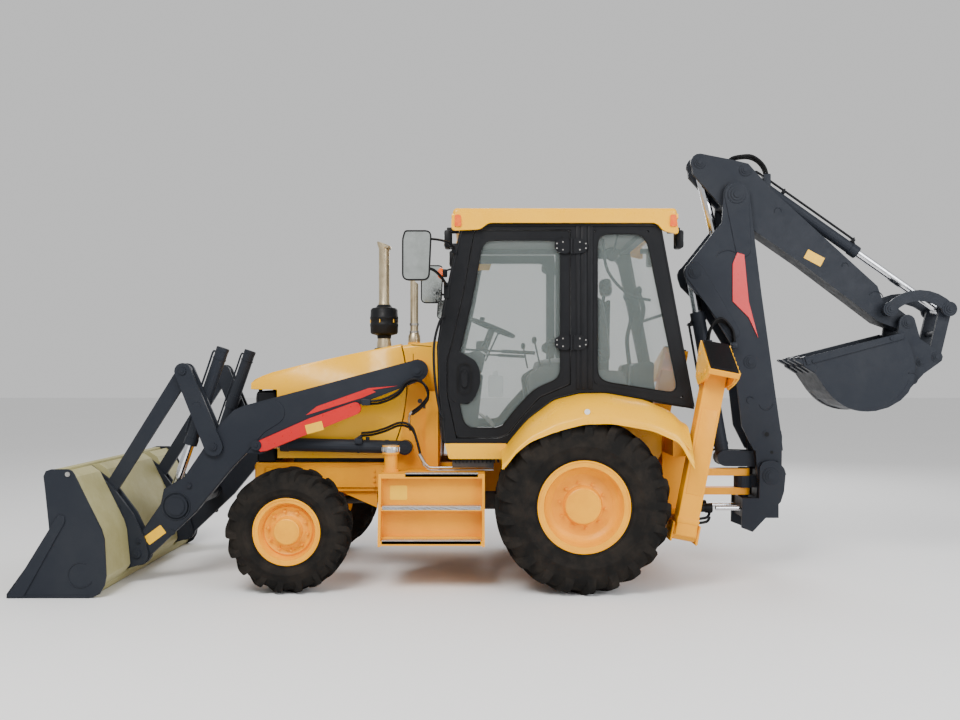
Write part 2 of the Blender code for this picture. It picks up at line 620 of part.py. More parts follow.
def build_cab():
    node("cab_base", make_cab_base(), YELLOW)
    node("cab_frame", make_cab_frame(), DARK)
    roof = box((-0.747, 0.985), (-0.815, 0.815), (2.8123, 2.92), 0.035)
    node("cab_roof", roof, YELLOW)
    node("seat", make_seat(), DARK, roughness=0.9)
    node("console", make_console(), DARK, roughness=0.7)
    for side, sign in SIDES:
        pin = (DOOR_HINGE[0], sign * DOOR_HINGE[1], 1.56)
        node("door_" + side, make_door(sign), DARK, pin)
        node("step_tank_" + side, sided(make_step_tank(sign > 0), sign), ORANGE)


# ---------------------------------------------------------------- loader

def make_loader_arm():
    top = [(1.2527, 1.755), (2.033, 1.545), (2.62, 1.39), (2.70, 1.355), (2.807, 1.245), (3.09, 0.83),
           (3.25, 0.735), (3.275, 0.617), (3.45, 0.36)]
    low = [(3.36, 0.21), (3.003, 0.547), (2.713, 0.90), (2.60, 1.015), (2.45, 1.03), (1.673, 1.418), (1.22, 1.59)]
    beam = fuse(plate(top + low, (ARM_IN, ARM_OUT)),
                boss(BUCKET_PIVOT, 0.10, (ARM_IN, ARM_OUT)), boss(ARM_PIVOT, 0.085, (ARM_IN, ARM_OUT)),
                boss(LIFT_EYE, 0.075, (ARM_IN, ARM_OUT)),
                boss(CROSS_TUBE, 0.097, (ARM_OUT - 0.01, ARM_OUT + 0.012)),
                boss(BUCKET_PIVOT, 0.05, (0.5483 + PIN_GAP, 0.622 - PIN_GAP)),
                boss(CRANK_PIVOT, 0.055, (0.5453, 0.6247)),
                plate(bar(((CROSS_TUBE, 0.07), (TILT_EYE, 0.05))), (0.370, 0.395)))
    tube = [rod(on(CROSS_TUBE, -ARM_IN - 0.02), on(CROSS_TUBE, ARM_IN + 0.02), 0.04),
            rod(on(CROSS_TUBE, -0.40), on(CROSS_TUBE, 0.40), 0.065)]
    return fuse(*tube, *both(beam))


def make_bellcrank(sign):
    outline = bar(((CRANK_PIVOT, 0.072), (CRANK_TOP, 0.065)))
    body = fuse(plate(outline, (0.625, 0.652)), plate(outline, (0.518, 0.545)),
                boss(CRANK_MID, 0.05, (0.53, 0.64)))
    return sided(body, sign)


def make_bucket_link(sign):
    body = fuse(plate(bar(((CRANK_TOP, 0.058), (LINK_PIN, 0.05))), (0.565, 0.605)),
                boss(CRANK_TOP, 0.035, (0.545 + PIN_GAP, 0.625 - PIN_GAP)))
    return sided(body, sign)


def make_loader_bucket():
    side = [(4.225, 0.0), (3.60, 0.0), (3.51, 0.09), (3.497, 0.16), (3.510, 0.427), (3.532, 0.502), (3.733, 0.905),
            (3.765, 0.941), (3.90, 0.941), (3.955, 0.89), (3.905, 0.464), (4.225, 0.030)]
    back = [(4.215, 0.0), (3.62, 0.0), (3.585, 0.05), (3.585, 0.34), (3.63, 0.455), (3.745, 0.565), (3.845, 0.68),
            (3.86, 0.905), (3.90, 0.905), (3.868, 0.668), (3.762, 0.545), (3.650, 0.438), (3.607, 0.335),
            (3.607, 0.06), (3.64, 0.024), (4.215, 0.022)]
    ear = [(3.86, 0.89), (3.835, 0.905), (3.64, 0.75), (3.49, 0.54), (3.395, 0.34), (3.368, 0.232),
           (3.39, 0.165), (3.46, 0.142), (3.59, 0.10), (3.597, 0.34), (3.64, 0.45), (3.755, 0.56), (3.857, 0.68)]
    ears = []
    for y in ((0.622, 0.647), (0.5233, 0.5483)):
        ears += both(plate(ear, y))
    sides = both(plate(side, (BUCKET_HALF - 0.022, BUCKET_HALF)))
    return fuse(plate(back, (-BUCKET_HALF + 0.01, BUCKET_HALF - 0.01)), *sides, *ears)


def build_loader():
    pivot = on(ARM_PIVOT)
    arm = node("loader_arm", make_loader_arm(), SLATE, pivot)
    node("loader_bucket", make_loader_bucket(), KHAKI, on(BUCKET_PIVOT), arm)
    for side, sign in SIDES:
        crank = node("bellcrank_" + side, make_bellcrank(sign), SLATE, on(CRANK_PIVOT, sign * 0.585), arm)
        node("bucket_link_" + side, make_bucket_link(sign), SLATE, on(CRANK_TOP, sign * 0.585), crank)
        cylinder((f"tilt_barrel_{side}", f"tilt_rod_{side}"), CRANK_MID, TILT_EYE, sign * TILT_Y, 0.050, 0.33,
                 -0.15, 0.045, crank, back=0.485, trunnion=sign * (0.518 - PIN_GAP), eye_r=0.04)
        cylinder((f"lift_barrel_{side}", f"lift_rod_{side}"), LIFT_BASE, LIFT_EYE, sign * LIFT_Y, LIFT_RADIUS, 0.99,
                 0.12, LIFT_RADIUS, None)


# ---------------------------------------------------------------- backhoe

def make_swing_post():
    cheek = [(-1.775, 0.80), (-1.762, 0.66), (-1.735, 0.575), (-1.50, 0.325), (-1.41, 0.36), (-1.415, 0.605),
             (-1.555, 0.605), (-1.56, 0.86), (-1.585, 0.905), *arc(BOOM_FOOT, 0.13, 60, 175, 6)]
    cheeks = both(fuse(plate(cheek, (0.156, 0.18)), boss(BOOM_FOOT, 0.05, (BOOM_OUT + PIN_GAP, 0.17))))
    block = box((-1.72, -1.43), (-0.17, 0.17), (0.44, 0.60))
    web = box((-1.66, -1.565), (-0.08, 0.08), (0.45, 0.83))
    knuckle = [rod((SWING_X, 0, 0.68 + PIN_GAP), (SWING_X, 0, 0.78 - PIN_GAP), 0.08),
               box((-1.60, SWING_X), (-0.058, 0.058), (0.68 + PIN_GAP, 0.78 - PIN_GAP))]
    lug = [(-1.65, 0.64), (-1.57, 0.64), (-1.57, 0.86), (-1.30, 0.862), *arc(BOOM_BASE, 0.068, -70, 100, 7),
           (-1.57, 0.99), (-1.65, 0.82)]
    lugs = both(plate(lug, (0.066, 0.084)))
    return fuse(block, web, *knuckle, *lugs, *cheeks)


def make_boom():
    front = [(-1.42, 1.20), (-1.342, 1.867), (-1.119, 2.234), (-0.965, 2.39), *arc(BOOM_LUG, 0.085, -20, 60, 4),
             (-1.199, 2.840), (-1.254, 2.904), (-1.265, 3.10)]
    rear = [(-1.475, 3.176), (-1.517, 2.84), (-1.582, 2.314), (-1.693, 1.516), (-1.741, 1.18), (-1.762, 1.0)]
    outline = [(-1.52, 1.0)] + front + arc(DIPPER_PIVOT, 0.11, 10, 170, 8) + rear
    side = fuse(plate(outline, (BOOM_IN, BOOM_OUT)), plate(bar(((BOOM_FOOT, 0.10), ((-1.64, 1.12), 0.115))),
                                                           (0.092, BOOM_OUT)),
                boss(DIPPER_BASE, 0.05, (0.056 + PIN_GAP, BOOM_OUT - 0.01)))
    core = plate([(-1.735, 1.13), (-1.58, 1.13), (-1.45, 1.57), (-1.675, 1.61)], (-0.135, 0.135))
    strip = plate([(-1.69, 1.55), (-1.64, 1.55), (-1.553, 2.20), (-1.52, 2.58), (-1.55, 2.58), (-1.60, 2.20)],
                  (-0.135, 0.135))
    return fuse(core, strip, *both(side))


def make_dipper():
    outline = [(-1.022, 3.319), *arc(DIPPER_TAIL, 0.075, -35, 95, 6), (-1.358, 3.436), (-1.486, 3.405),
               (-1.693, 3.176), (-2.571, 2.377), *arc(ROCKER_PIN, 0.075, 70, 150, 4),
               *arc(HOE_PIVOT, 0.065, 130, 290, 6), (-2.667, 2.045), (-2.587, 2.074), (-1.932, 2.569),
               (-1.517, 2.856), (-1.262, 3.048)]
    body = plate(outline, (-DIPPER_HALF, DIPPER_HALF))
    tail_slot = [(-0.90, 3.0), (-1.255, 3.0), (-1.285, 3.14), (-1.32, 3.22), (-1.40, 3.25), (-1.53, 3.235), (-1.75, 3.065), (-2.02, 2.865),
                 (-2.0, 3.10), (-1.60, 3.60), (-0.90, 3.60)]
    body = cut(body, plate(tail_slot, (-0.062, 0.062)))
    pins = [boss(HOE_PIVOT, 0.055, (-EAR_IN + PIN_GAP, EAR_IN - PIN_GAP)),
            boss(ROCKER_PIN, 0.05, (-ROCKER_IN + PIN_GAP, ROCKER_IN - PIN_GAP)),
            boss(DIPPER_PIVOT, 0.07, (-BOOM_IN + PIN_GAP, BOOM_IN - PIN_GAP))]
    body = fuse(body, *pins)
    return cut(body, boss(ROCKER_PIN, 0.0315, (-0.2, 0.2), 24))


def make_rocker():
    start, end = ROCKER_PIN, ROCKER_TOP
    middle = ((start[0] + end[0]) / 2, start[1] - 0.215)
    reach = math.dist(middle, start)
    low = math.degrees(math.atan2(start[1] - middle[1], start[0] - middle[0]))
    curve = arc(middle, reach + 0.048, low, 180 - low, 9) + arc(middle, reach - 0.042, 180 - low, low, 9)
    cheek = fuse(plate(curve, (ROCKER_IN, ROCKER_OUT)), boss(start, 0.062, (ROCKER_IN, ROCKER_OUT + 0.005)),
                 boss(end, 0.062, (ROCKER_IN, ROCKER_OUT + 0.005)))
    return fuse(*both(cheek), boss(start, 0.0305, (-0.19, 0.19), 24))


def make_hoe_link():
    side = fuse(plate(bar(((ROCKER_TOP, 0.05), (HOE_LINK_PIN, 0.05))), (0.102, 0.13)),
                boss(ROCKER_TOP, 0.035, (0.11, ROCKER_IN - PIN_GAP)))
    middle = ((ROCKER_TOP[0] + HOE_LINK_PIN[0]) / 2, (ROCKER_TOP[1] + HOE_LINK_PIN[1]) / 2)
    return fuse(boss(middle, 0.028, (-0.12, 0.12)), *both(side))


def make_hoe_bucket():
    curve = [(-1.90, 1.772), (-1.995, 1.643), (-2.092, 1.50), (-2.16, 1.43), (-2.251, 1.372), (-2.37, 1.338),
             (-2.491, 1.332), (-2.60, 1.362), (-2.70, 1.42), (-2.763, 1.484), (-2.81, 1.58), (-2.819, 1.707),
             (-2.79, 1.84), (-2.731, 1.979)]
    hollow = grown(curve, 0.0)
    middle = (-2.42, 1.72)
    inner = [(x + (middle[0] - x) * 0.045, z + (middle[1] - z) * 0.045) for x, z in hollow]
    inner[0], inner[-1] = (-1.90, 1.80), (-2.70, 2.05)
    shell = cut(plate(curve, (-HOE_HALF, HOE_HALF)), plate(inner, (-HOE_HALF + 0.02, HOE_HALF - 0.02)))
    ear = [*arc(HOE_PIVOT, 0.068, 20, 150, 6), (-2.90, 1.93), *arc(HOE_LINK_PIN, 0.055, 100, 250, 5),
           (-2.93, 1.64), (-2.79, 1.49), (-2.77, 1.60), (-2.795, 1.72), (-2.765, 1.86), (-2.715, 1.97)]
    ears = both(plate(ear, (EAR_IN, EAR_OUT)))
    teeth = []
    for i in range(4):
        y = (i - 1.5) * 0.145
        tooth = plate([(-1.95, 1.75), (-1.93, 1.70), (-1.83, 1.752), (-1.835, 1.765)], (y - 0.03, y + 0.03))
        teeth.append(tooth)
    return fuse(shell, *ears, *teeth)


def build_backhoe():
    post = node("swing_post", make_swing_post(), SLATE, (SWING_X, 0, 0.73))
    boom = node("boom", make_boom(), SLATE, on(BOOM_FOOT), post)
    cylinder(("boom_barrel", "boom_rod"), BOOM_BASE, BOOM_LUG, 0, 0.058, 1.25, 0.12, 0.0655, post)
    dipper = node("dipper", make_dipper(), SLATE, on(DIPPER_PIVOT), boom)
    cylinder(("dipper_barrel", "dipper_rod"), DIPPER_BASE, DIPPER_TAIL, 0, 0.052, 0.95, 0.75, 0.056, boom)
    rocker = node("hoe_rocker", make_rocker(), SLATE, on(ROCKER_PIN), dipper)
    node("hoe_link", make_hoe_link(), SLATE, on(ROCKER_TOP), rocker)
    cylinder(("hoe_bucket_barrel", "hoe_bucket_rod"), HOE_BASE, ROCKER_TOP, 0, 0.048, 1.19, 0.88, 0.0615, dipper)
    node("hoe_bucket", make_hoe_bucket(), SLATE, on(HOE_PIVOT), dipper)


# ---------------------------------------------------------------- stabilizers

def leaning(obj, sign):
    """Stand a piece made round the leg's foot at its place, leaning with the leg."""
    place = Matrix.Translation(on(LEG_FOOT, LEG_Y)) @ Matrix.Rotation(-LEG_LEAN, 4, "Y")
    obj.data.transform(place)
    return sided(obj, sign)


def make_leg():
    body = box((-LEG_X, LEG_X), (-LEG_HALF_Y, LEG_HALF_Y), (-0.02, LEG_LENGTH), 0.008)
    foot = rod((-0.088, 0, 0), (0.088, 0, 0), 0.06)
    head = rod((-0.0895, 0, LEG_LENGTH - 0.05), (0.0895, 0, LEG_LENGTH - 0.05), 0.045)
    return fuse(body, foot, head)


def make_pad():
    """Ribbed sole between two side plates that straddle the leg's head."""
    height = LEG_LENGTH - 0.05
    turn = Matrix.Translation((0, 0, height)) @ Matrix.Rotation(PAD_TILT, 4, "X")
    parts = [box((-0.115, 0.115), (-0.25, 0.25), (0.12, 0.165), 0.006)]
    for x in ((-0.108, -0.09), (0.09, 0.108)):
        cheek = plate([(-0.23, 0.13), (-0.20, 0.06), (-0.06, -0.05), (0.06, -0.05), (0.20, 0.06), (0.23, 0.13)], x)
        cheek.data.transform(Matrix.Rotation(math.pi / 2, 4, "Z"))
        cheek.data.transform(Matrix.Scale(-1, 4, (1, 0, 0)))
        cheek.data.flip_normals()
        parts.append(cheek)
    pad = fuse(*parts)
    pad.data.transform(turn)
    return pad


def build_stabilizers():
    for side, sign in SIDES:
        foot = on(LEG_FOOT, sign * LEG_Y)
        leg = node("stabilizer_leg_" + side, leaning(make_leg(), sign), ORANGE, foot)
        rise = LEG_LENGTH - 0.05
        head = (LEG_FOOT[0] - rise * math.sin(LEG_LEAN), sign * LEG_Y, LEG_FOOT[1] + rise * math.cos(LEG_LEAN))
        node("stabilizer_pad_" + side, leaning(make_pad(), sign), DARK, head, leg)


build_frame()
build_wheels()
build_hood()
build_cab()
build_loader()
build_backhoe()
build_stabilizers()
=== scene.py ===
"""Looks of a wheeled backhoe loader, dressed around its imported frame.

Side outlines are (x, z) pairs measured from the rear axle; AXLE shifts them into
the frame. +X is forward, +Y the driver's left, +Z up, all in metres.
"""
import json
import logging
import math
from dataclasses import dataclass
from enum import Enum
from typing import Iterable, Sequence

import bmesh
import bpy
from mathutils import Matrix, Vector

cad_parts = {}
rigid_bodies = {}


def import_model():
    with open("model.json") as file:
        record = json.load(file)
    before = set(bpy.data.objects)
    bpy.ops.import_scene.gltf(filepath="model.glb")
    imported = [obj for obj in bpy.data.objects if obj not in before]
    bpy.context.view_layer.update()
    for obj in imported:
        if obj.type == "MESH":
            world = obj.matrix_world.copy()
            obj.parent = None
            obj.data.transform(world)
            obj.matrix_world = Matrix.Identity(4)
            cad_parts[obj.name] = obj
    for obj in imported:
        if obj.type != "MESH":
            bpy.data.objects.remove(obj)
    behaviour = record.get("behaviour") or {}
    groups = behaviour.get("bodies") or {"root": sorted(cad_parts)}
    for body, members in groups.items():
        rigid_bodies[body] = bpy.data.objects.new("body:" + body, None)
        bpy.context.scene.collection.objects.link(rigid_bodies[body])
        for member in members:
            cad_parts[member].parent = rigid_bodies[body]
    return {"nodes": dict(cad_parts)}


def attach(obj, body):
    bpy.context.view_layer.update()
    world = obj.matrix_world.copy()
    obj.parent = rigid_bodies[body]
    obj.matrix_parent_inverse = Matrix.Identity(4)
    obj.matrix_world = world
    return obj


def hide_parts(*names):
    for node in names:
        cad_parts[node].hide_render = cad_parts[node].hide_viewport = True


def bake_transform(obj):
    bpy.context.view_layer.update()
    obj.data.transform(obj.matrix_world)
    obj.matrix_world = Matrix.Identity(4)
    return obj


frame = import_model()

logging.basicConfig(level=logging.INFO, format="%(message)s")
LOG = logging.getLogger("backhoe_loader")
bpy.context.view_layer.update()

AXLE = -0.5165
Pair = tuple[float, float]
Point = tuple[float, float, float]
Socket, Tree, Node, Thing = bpy.types.NodeSocket, bpy.types.NodeTree, bpy.types.Node, bpy.types.Object
UP = Vector((0, 0, 1))
SIDES: tuple[tuple[str, int], ...] = (("left", 1), ("right", -1))


class Body(str, Enum):
    """Bodies that pieces ride on."""
    CHASSIS = "chassis"
    ARM = "loader_arm"
    BUCKET = "loader_bucket"
    POST = "swing_post"
    BOOM = "boom"
    DIPPER = "dipper"
    HOE = "hoe_bucket"
    HOOD = "hood"


class Repeat(Enum):
    """How Geometry Nodes lays copies out."""
    RING = "ring"
    ROW = "row"


# ------------------------------------------------------------------ finishes

@dataclass(frozen=True)
class Finish:
    """A procedural surface on Object coordinates.

    Args:
        name: The material's name.
        colour: Base colour, linear.
        second: Colour of the soft blotches, dust or heat stains.
        amount: How much of the second colour shows, 0 to 1.
        scale: Size of the blotches, in noise periods a metre.
        roughness: Middle roughness.
        metallic: 0 or 1.
        grain: Noise periods a metre of the fine bump.
        bump: Strength of the fine bump.
        coat: Clear coat weight.
        settle: How much more of the second colour lies on faces that look up.
        alpha: Opacity.
        shine: Level of the plain reflection.
    """
    name: str
    colour: Point
    second: Point
    amount: float = 0.35
    scale: float = 3.0
    roughness: float = 0.4
    metallic: float = 0.0
    grain: float = 220.0
    bump: float = 0.05
    coat: float = 0.0
    settle: float = 0.0
    alpha: float = 1.0
    shine: float = 0.5

    def make(self) -> bpy.types.Material:
        """The material, made once.

        Returns:
            The material.
        """
        name = f"{self.name}_finish"
        old = bpy.data.materials.get(name)
        if old:
            return old
        mat = bpy.data.materials.new(name)
        mat.use_nodes = True
        tree = mat.node_tree
        shader = tree.nodes["Principled BSDF"]
        shader.inputs["Metallic"].default_value = self.metallic
        shader.inputs["Coat Weight"].default_value = self.coat
        shader.inputs["Coat Roughness"].default_value = 0.12
        shader.inputs["Alpha"].default_value = self.alpha
        shader.inputs["Specular IOR Level"].default_value = self.shine
        place = tree.nodes.new("ShaderNodeTexCoord").outputs["Object"]
        blotch = self._noise(tree, place, self.scale, 8.0, 0.62)
        share = self._range(tree, blotch, (0.42, 0.72), (0.0, self.amount))
        if self.settle:
            up = tree.nodes.new("ShaderNodeSeparateXYZ")
            tree.links.new(tree.nodes.new("ShaderNodeNewGeometry").outputs["Normal"], up.inputs[0])
            laid = self._range(tree, up.outputs["Z"], (0.25, 1.0), (0.0, self.settle))
            share = self._math(tree, "ADD", share, self._math(tree, "MULTIPLY", laid, blotch))
        mix = tree.nodes.new("ShaderNodeMix")
        mix.data_type = "RGBA"
        mix.inputs[6].default_value = (*self.colour, 1)
        mix.inputs[7].default_value = (*self.second, 1)
        tree.links.new(share, mix.inputs[0])
        tree.links.new(mix.outputs[2], shader.inputs["Base Color"])
        worn = self._noise(tree, place, self.scale * 7, 6.0, 0.7)
        low, high = max(0.02, self.roughness - 0.1), min(1.0, self.roughness + 0.14)
        tree.links.new(self._range(tree, worn, (0.3, 0.7), (low, high)), shader.inputs["Roughness"])
        if self.bump:
            fine = self._noise(tree, place, self.grain, 3.0, 0.5)
            tree.links.new(self._bump(tree, fine), shader.inputs["Normal"])
        self.detail(tree, shader, place, mix)
        return mat

    def detail(self, tree: Tree, shader: Node, place: Socket,
               mix: Node) -> None:
        """Room for a finish's own nodes."""

    def _noise(self, tree: Tree, place: Socket, scale: float, detail: float,
               rough: float) -> Socket:
        """A noise texture's factor at that many periods a metre."""
        node = tree.nodes.new("ShaderNodeTexNoise")
        node.inputs["Scale"].default_value = scale
        node.inputs["Detail"].default_value = detail
        node.inputs["Roughness"].default_value = rough
        tree.links.new(place, node.inputs["Vector"])
        return node.outputs["Fac"]

    def _range(self, tree: Tree, value: Socket, low: Pair,
               high: Pair) -> Socket:
        """A value carried from one range to another."""
        node = tree.nodes.new("ShaderNodeMapRange")
        for socket, number in zip(("From Min", "From Max", "To Min", "To Max"), (*low, *high)):
            node.inputs[socket].default_value = number
        tree.links.new(value, node.inputs["Value"])
        return node.outputs["Result"]

    def _math(self, tree: Tree, kind: str, one: Socket,
              two: Socket | float) -> Socket:
        """Two values put together, kept between 0 and 1."""
        node = tree.nodes.new("ShaderNodeMath")
        node.operation, node.use_clamp = kind, True
        tree.links.new(one, node.inputs[0])
        if isinstance(two, float):
            node.inputs[1].default_value = two
        else:
            tree.links.new(two, node.inputs[1])
        return node.outputs[0]

    def _bump(self, tree: Tree, height: Socket) -> Socket:
        """A bump of this finish's strength from a height."""
        node = tree.nodes.new("ShaderNodeBump")
        node.inputs["Strength"].default_value = self.bump
        node.inputs["Distance"].default_value = 0.002
        tree.links.new(height, node.inputs["Height"])
        return node.outputs["Normal"]


@dataclass(frozen=True)
class Weave(Finish):
    """A cloth: crossing threads over the blotches."""
    thread: float = 260.0

    def detail(self, tree: Tree, shader: Node, place: Socket,
               mix: Node) -> None:
        """Crossed wave bumps and a soft sheen."""
        heights = []
        for way in ("X", "Y"):
            wave = tree.nodes.new("ShaderNodeTexWave")
            wave.bands_direction = way
            wave.inputs["Scale"].default_value = self.thread
            wave.inputs["Distortion"].default_value = 0.6
            tree.links.new(place, wave.inputs["Vector"])
            heights.append(wave.outputs["Fac"])
        tree.links.new(self._bump(tree, self._math(tree, "MULTIPLY", *heights)), shader.inputs["Normal"])
        shader.inputs["Sheen Weight"].default_value = 0.3
        shader.inputs["Sheen Roughness"].default_value = 0.5


@dataclass(frozen=True)
class Chips(Finish):
    """Paint worn through in small chips and scratches."""
    bare: Point = (0.22, 0.2, 0.18)
    chips: float = 0.5

    def detail(self, tree: Tree, shader: Node, place: Socket,
               mix: Node) -> None:
        """Sparse bare specks laid over the mixed colour."""
        specks = self._range(tree, self._noise(tree, place, 34.0, 9.0, 0.75), (0.66, 0.7), (0.0, self.chips))
        where = self._range(tree, self._noise(tree, place, 1.9, 3.0, 0.5), (0.5, 0.62), (0.0, 1.0))
        over = tree.nodes.new("ShaderNodeMix")
        over.data_type = "RGBA"
        over.inputs[7].default_value = (*self.bare, 1)
        tree.links.new(self._math(tree, "MULTIPLY", specks, where), over.inputs[0])
        tree.links.new(mix.outputs[2], over.inputs[6])
        tree.links.new(over.outputs[2], shader.inputs["Base Color"])


YELLOW = Finish("yellow_paint", (0.90, 0.45, 0.0), (0.80, 0.35, 0.0), 0.30, 1.7, 0.32, coat=0.1, settle=0.03,
                shine=0.35)
ORANGE = Chips("orange_paint", (0.84, 0.345, 0.0), (0.64, 0.22, 0.0), 0.45, 2.6, 0.42, shine=0.3,
               bare=(0.25, 0.08, 0.004), chips=0.35)
RIM = Chips("rim_paint", (0.90, 0.38, 0.0), (0.70, 0.25, 0.0), 0.45, 6.0, 0.40, shine=0.3,
            bare=(0.30, 0.10, 0.004), chips=0.4)
SLATE = Chips("slate_paint", (0.019, 0.022, 0.029), (0.032, 0.035, 0.041), 0.45, 2.2, 0.42, shine=0.10,
              settle=0.05, bare=(0.05, 0.05, 0.05), chips=0.3)
TRIM = Finish("cab_trim", (0.0085, 0.009, 0.0105), (0.018, 0.018, 0.019), 0.35, 3.5, 0.42, shine=0.12,
              settle=0.04)
KHAKI = Chips("bucket_paint", (0.335, 0.305, 0.135), (0.44, 0.41, 0.22), 0.55, 4.0, 0.58, settle=0.12,
              bare=(0.12, 0.10, 0.06), chips=0.5)
RED = Finish("red_paint", (0.56, 0.0, 0.001), (0.42, 0.0, 0.001), 0.25, 4.0, 0.34, coat=0.15)
RUBBER = Finish("tyre_rubber", (0.011, 0.0105, 0.010), (0.045, 0.035, 0.027), 0.42, 7.0, 0.80, grain=420.0,
                bump=0.25, settle=0.04, shine=0.05)
HOSE = Finish("hose_rubber", (0.004, 0.004, 0.0045), (0.016, 0.016, 0.016), 0.3, 20.0, 0.45, grain=600.0,
              shine=0.15)
CHROME = Finish("chrome_rod", (0.70, 0.71, 0.74), (0.52, 0.53, 0.56), 0.25, 5.0, 0.13, 1.0, bump=0.01)
STEEL = Finish("bare_steel", (0.50, 0.49, 0.47), (0.28, 0.26, 0.23), 0.5, 24.0, 0.38, 1.0, bump=0.1)
STACK = Finish("stack_metal", (0.56, 0.47, 0.31), (0.26, 0.19, 0.11), 0.55, 9.0, 0.34, 0.85, bump=0.05)
IRON = Finish("engine_iron", (0.030, 0.030, 0.032), (0.09, 0.07, 0.05), 0.5, 12.0, 0.6, grain=90.0, bump=0.3)
PLASTIC = Finish("interior", (0.018, 0.020, 0.021), (0.040, 0.042, 0.042), 0.4, 5.0, 0.55, grain=900.0,
                 bump=0.25)
CLOTH = Weave("seat_cloth", (0.014, 0.015, 0.018), (0.034, 0.036, 0.040), 0.5, 9.0, 0.85, bump=0.5)
TREAD = Finish("tread_metal", (0.58, 0.59, 0.60), (0.34, 0.30, 0.25), 0.4, 16.0, 0.36, 0.9, bump=0.08)
GLASS = Finish("cab_glass", (0.26, 0.31, 0.30), (0.34, 0.39, 0.37), 0.4, 1.2, 0.09, bump=0.0, alpha=0.17)
MIRROR = Finish("mirror_glass", (0.66, 0.70, 0.68), (0.36, 0.40, 0.36), 0.5, 7.0, 0.10, 1.0, bump=0.0)
AMBER = Finish("lamp_amber", (0.80, 0.09, 0.0), (0.88, 0.24, 0.02), 0.5, 30.0, 0.16, coat=0.6)
LENS = Finish("lamp_clear", (0.70, 0.72, 0.72), (0.45, 0.47, 0.48), 0.4, 40.0, 0.12, coat=0.8)
STICKER = Finish("sticker_yellow", (0.90, 0.50, 0.0), (0.75, 0.36, 0.0), 0.3, 18.0, 0.40)
LINING = Finish("cab_lining", (0.10, 0.105, 0.10), (0.17, 0.175, 0.165), 0.5, 4.0, 0.75, grain=500.0,
                bump=0.2)


# ------------------------------------------------------------------ shaping

def at(pair: Pair, y: float = 0.0) -> Vector:
    """The frame's point for an (x, z) pair from the rear axle and a value of y."""
    return Vector((pair[0] + AXLE, y, pair[1]))


def arc(centre: Pair, radius: float, start: float, end: float, count: int = 10) -> list[Pair]:
    """Points along an arc, in degrees from +x towards +z."""
    turns = [math.radians(start + (end - start) * i / (count - 1)) for i in range(count)]
    return [(centre[0] + radius * math.cos(a), centre[1] + radius * math.sin(a)) for a in turns]


def bar(a: Pair, ra: float, b: Pair, rb: float, count: int = 14) -> list[Pair]:
    """The outline round two pins, with round ends.

    Args:
        a: First pin.
        ra: Radius round the first pin.
        b: Second pin.
        rb: Radius round the second pin.
        count: Points in each end.

    Returns:
        The closed outline.
    """
    along = math.degrees(math.atan2(b[1] - a[1], b[0] - a[0]))
    side = math.degrees(math.acos((ra - rb) / math.dist(a, b)))
    return arc(a, ra, along + side, along + 360 - side, count) + arc(b, rb, along - side, along + side, count)


def grown(outline: Sequence[Pair], distance: float) -> list[Pair]:
    """An outline moved outwards by a distance; inwards when negative."""
    points = [Vector(p) for p in outline]
    area = sum(points[i - 1].x * p.y - p.x * points[i - 1].y for i, p in enumerate(points))
    moved = []
    for i, here in enumerate(points):
        one = (here - points[i - 1]).normalized()
        two = (points[(i + 1) % len(points)] - here).normalized()
        out = Vector((one.y + two.y, -one.x - two.x)) * math.copysign(1, area)
        moved.append(tuple(here + out * distance / max(0.3, 1 + one.dot(two))))
    return moved


def rounded(outline: Sequence[Pair], radius: float, count: int = 6) -> list[Pair]:
    """An outline with its corners rounded, each by at most a third of its sides."""
    points = [Vector(p) for p in outline]
    out: list[Pair] = []
    for i, here in enumerate(points):
        before, after = points[i - 1], points[(i + 1) % len(points)]
        reach = min(radius, (before - here).length / 3, (after - here).length / 3)
        start = here + (before - here).normalized() * reach
        end = here + (after - here).normalized() * reach
        for k in range(count):
            t = k / (count - 1)
            out.append(tuple((1 - t) ** 2 * start + 2 * t * (1 - t) * here + t * t * end))
    return out


def smooth_path(points: Sequence[Vector], steps: int = 6) -> list[Vector]:
    """A Catmull-Rom line through points."""
    line = [points[0], *points, points[-1]]
    out: list[Vector] = []
    for p0, p1, p2, p3 in zip(line, line[1:], line[2:], line[3:]):
        for k in range(steps):
            t = k / steps
            out.append(0.5 * ((2 * p1) + (p2 - p0) * t + (2 * p0 - 5 * p1 + 4 * p2 - p3) * t * t
                              + (3 * p1 - p0 - 3 * p2 + p3) * t ** 3))
    return out + [points[-1]]


